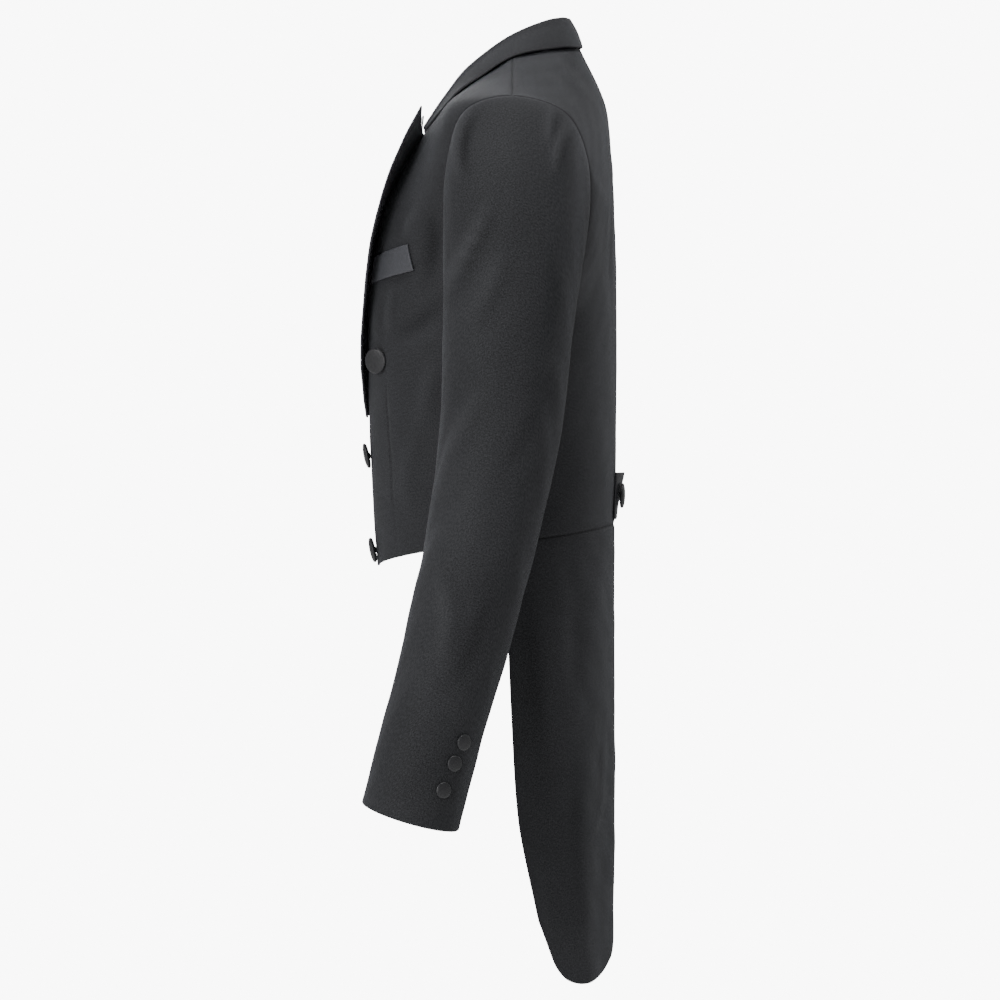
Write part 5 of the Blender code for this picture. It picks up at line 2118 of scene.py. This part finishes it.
@dataclass
class Trimmings(Garment):
    """Lapels, collar, welt, half belt and the allowance inside the centre back seam."""

    body: BodyCut = field(default_factory=BodyCut)
    lapel: LapelCut = field(default_factory=LapelCut)
    collar: CollarCut = field(default_factory=CollarCut)
    # painted light on the lapel's shaded underside
    lapel_underside: float = 4.0
    welt_inner: float = 0.14
    welt_outer: tuple[float, float] = (0.60, 0.545)
    welt_level: float = 4.74
    welt_rise: float = 0.16
    welt_height: float = 0.50
    belt_half_place: float = 0.165
    belt_levels: tuple[float, float] = (0.09, 0.93)
    belt_flare: float = 1.5
    allowance_place: float = 0.045
    allowance_gap: float = 0.5
    allowance_low: float = 0.04
    lapel_across: Spacing = Spacing(1 / 36, (0.006, 0.015, 0.030))
    lapel_climb: Spacing = Spacing(0.065, (0.012, 0.03, 0.06))
    collar_stations: Spacing = Spacing(0.055, (0.02, 0.05, 0.09))
    collar_shares: Spacing = Spacing(1 / 52, (0.010, 0.022, 0.040))
    welt_shares: Spacing = Spacing(1 / 40, (0.008, 0.018, 0.032))
    welt_climbs: Spacing = Spacing(1 / 18, (0.02, 0.045, 0.08))
    allowance_levels: Spacing = Spacing(1 / 12, (0.012, 0.03, 0.055))
    allowance_across: Spacing = Spacing(1 / 6, (0.03, 0.08))
    belt_climbs: Spacing = Spacing(1 / 20, (0.012, 0.03, 0.055))
    belt_across: Spacing = Spacing(1 / 30, (0.012, 0.03, 0.06))

    def lapel_shell(self, side: Side) -> Shell:
        """One lapel facing.

        Args:
            side: side of the wearer.

        Returns:
            Its shell.
        """
        across = self.lapel_across.over(0.0, 1.0)
        climb = self.lapel_climb.over(0.0, len(self.lapel.rows) - 1.0)
        return Shell(f"facing_lapel_{side.name.lower()}",
                     self.lapel.surface(self.body, across, climb), SATIN_WALL, ALL_TURNED, 1, side,
                     phase=5.2, uneven=0.7, underside=self.lapel_underside)

    def collar_shell(self) -> Shell:
        """The folded collar.

        Returns:
            Its shell.
        """
        last = len(self.collar.rows) - 1.0
        points = self.collar.surface(self.collar_stations.over(-last, last),
                                     self.collar_shares.over(0.0, 1.0))
        return Shell("folded_collar", points, CLOTH_WALL, ALL_TURNED, phase=0.9, uneven=0.6)

    def welt_shell(self) -> Shell:
        """The breast welt on the left front.

        Returns:
            Its shell.
        """
        low, high = self.welt_outer

        def spot(climb: float, share: float) -> np.ndarray:
            """Point of the welt above the front's cloth.

            Args:
                climb: share of the way up the welt.
                share: share of the way along it.

            Returns:
                Point in millimetres.
            """
            place = self.welt_inner + (low + (high - low) * climb - self.welt_inner) * share
            level = self.welt_level + self.welt_rise * share + self.welt_height * climb
            here, out = surface_seat(self.body.front, place, level)
            return here + out * (CLOTH_WALL / 2 + LAY_GAP + SATIN_WALL / 2)

        grid = patch(self.welt_climbs.over(0.0, 1.0), self.welt_shares.over(0.0, 1.0), spot)
        return Shell("breast_welt_cloth", grid, SATIN_WALL, ALL_TURNED, phase=1.1, uneven=0.6)

    def off_back(self, share: float, half: float, level: float, gap: float) -> np.ndarray:
        """Point off the back's cloth, on both sides of the centre seam.

        Args:
            share: -1 at the wearer's right end of the piece to 1 at the left one.
            half: place across the back where the piece ends.
            level: level on the back.
            gap: clear distance inside the back's cloth, or outside it where below nought.

        Returns:
            Point in millimetres.
        """
        here, inward = surface_seat(self.body.back, abs(share) * half, level)
        walls = math.copysign(CLOTH_WALL / 2 + SATIN_WALL / 2, gap)
        return (here + inward * (walls + gap)) * (1 if share >= 0 else -1, 1, 1)

    def allowance_shell(self) -> Shell:
        """The centre back's seam allowance, pressed open inside.

        Returns:
            Its shell.
        """

        def spot(level: float, share: float) -> np.ndarray:
            """Point of the allowance inside the back's cloth."""
            return self.off_back(share, self.allowance_place, level, self.allowance_gap)

        grid = patch(self.allowance_levels.over(self.allowance_low, NECK),
                     self.allowance_across.over(-1.0, 1.0), spot)
        return Shell("centre_seam_allowance", grid, SATIN_WALL, ALL_TURNED, -1, phase=1.3,
                     uneven=0.3)

    def belt_shell(self) -> Shell:
        """The half belt across the centre back.

        Returns:
            Its shell.
        """
        low, high = self.belt_levels

        def spot(climb: float, share: float) -> np.ndarray:
            """Point of the belt, which stands off the back in the middle of its upper edge.

            Args:
                climb: share of the way up the belt.
                share: -1 at its right end to 1 at its left one.

            Returns:
                Point in millimetres.
            """
            stand = BELT_STAND * climb ** self.belt_flare * (1 - share * share)
            return self.off_back(share, self.belt_half_place, low + (high - low) * climb,
                                 -(LAY_GAP + stand))

        grid = patch(self.belt_climbs.over(0.0, 1.0), self.belt_across.over(-1.0, 1.0), spot)
        return Shell("half_belt_cloth", grid, SATIN_WALL, ALL_TURNED, -1, phase=2.7, uneven=0.6)


@dataclass
class Buttons(Garment):
    """All covered buttons."""

    body: BodyCut = field(default_factory=BodyCut)
    sleeve: SleeveCut = field(default_factory=SleeveCut)
    front_radius: float = 11.3
    cuff_radius: float = 7.2
    belt_share: float = 0.33
    fronts: tuple[ButtonSeat, ...] = (
        ButtonSeat(0.275, 2.845, 0.0, 30.0),
        ButtonSeat(0.045, 1.69, 9.0),
        ButtonSeat(0.045, 0.24, 8.0),
    )
    cuffs: tuple[ButtonSeat, ...] = (
        ButtonSeat(7.30, 6.68),
        ButtonSeat(7.13, 7.05),
        ButtonSeat(6.95, 7.45),
    )
    belts: tuple[ButtonSeat, ...] = (ButtonSeat(0.105, 0.53),)

    def pair(self, name: str, here: np.ndarray, out: np.ndarray, radius: float,
             seat: ButtonSeat) -> None:
        """The same button on both sides.

        Args:
            name: the node's name without its side.
            here: seat on the left.
            out: way out of the cloth on the left.
            radius: the button's radius.
            seat: its tip and turn.
        """
        for side in Side:
            flip = np.array([side.value, 1, 1])
            word = side.name.lower()
            thing = CoveredButton(radius).build(f"covered_{name}_{word}", here * flip, out * flip,
                                                seat.tip, seat.turn * side.value)
            self.finish_piece(thing, BUTTON_CLOTH.slot, [f"{name}_{word}"])

    def build(self) -> None:
        """Make every button."""
        for number, seat in enumerate(self.fronts, 1):
            here, out = surface_seat(self.body.front, seat.place, seat.level)
            self.pair(f"front_button_{number}", here, out, self.front_radius, seat)

        def sleeve(place: np.ndarray, ring: np.ndarray) -> np.ndarray:
            """The sleeve's surface on this body."""
            return self.sleeve.surface(self.body, place, ring)

        for number, seat in enumerate(self.cuffs, 1):
            here, out = surface_seat(sleeve, seat.place, seat.level)
            self.pair(f"cuff_button_{number}", here, -out, self.cuff_radius, seat)
        for seat in self.belts:
            here, out = surface_seat(self.body.back, seat.place, seat.level)
            lifted = here - out * (SATIN_WALL + LAY_GAP + BELT_STAND * self.belt_share)
            self.pair("back_button", lifted, -out, self.front_radius, seat)


def main() -> None:
    """Build the jacket, its stage and its view."""
    logging.basicConfig(level=logging.INFO, format="%(name)s: %(message)s")
    Camera().place()
    Studio().build()
    jacket, trim = Jacket(), Trimmings()
    sewing: list[tuple[str, list[np.ndarray]]] = []
    for side in Side:
        shells = jacket.panels(side)
        share_seams(shells)
        for shell in shells:
            held = Held.DRAPED if "front" in shell.name or "back" in shell.name else Held.HUNG
            jacket.sheet_piece(shell, SUITING, shell.name.replace("cloth_", ""), held)
        sewing.append((f"edge_stitches_{side.name.lower()}",
                       shells[0].stitch_paths(EDGE_RUNS) + shells[2].stitch_paths(TAIL_RUNS)))
    for side in Side:
        lapel = trim.lapel_shell(side)
        trim.sheet_piece(lapel, SATIN, f"lapel_{side.name.lower()}", Held.FOLDED)
        sewing.append((f"lapel_stitches_{side.name.lower()}", lapel.stitch_paths(LAPEL_RUNS)))
    collar, welt, belt = trim.collar_shell(), trim.welt_shell(), trim.belt_shell()
    trim.sheet_piece(collar, SUITING, "collar", Held.FOLDED)
    trim.sheet_piece(welt, WELT_SATIN, "breast_welt", Held.STRETCHED)
    trim.sheet_piece(belt, SATIN, "half_belt", Held.STRETCHED)
    trim.sheet_piece(trim.allowance_shell(), SUITING, "", Held.STRETCHED)
    sewing += [("collar_stitches", collar.stitch_paths(COLLAR_RUNS)),
               ("welt_stitches", welt.stitch_paths(WELT_RUNS)),
               ("half_belt_stitches", belt.stitch_paths(BELT_RUNS))]
    Buttons().build()
    for name, lines in sewing:
        jacket.finish_piece(StitchLine(name).build(lines), "suiting", [])


if __name__ == "__main__":
    main()
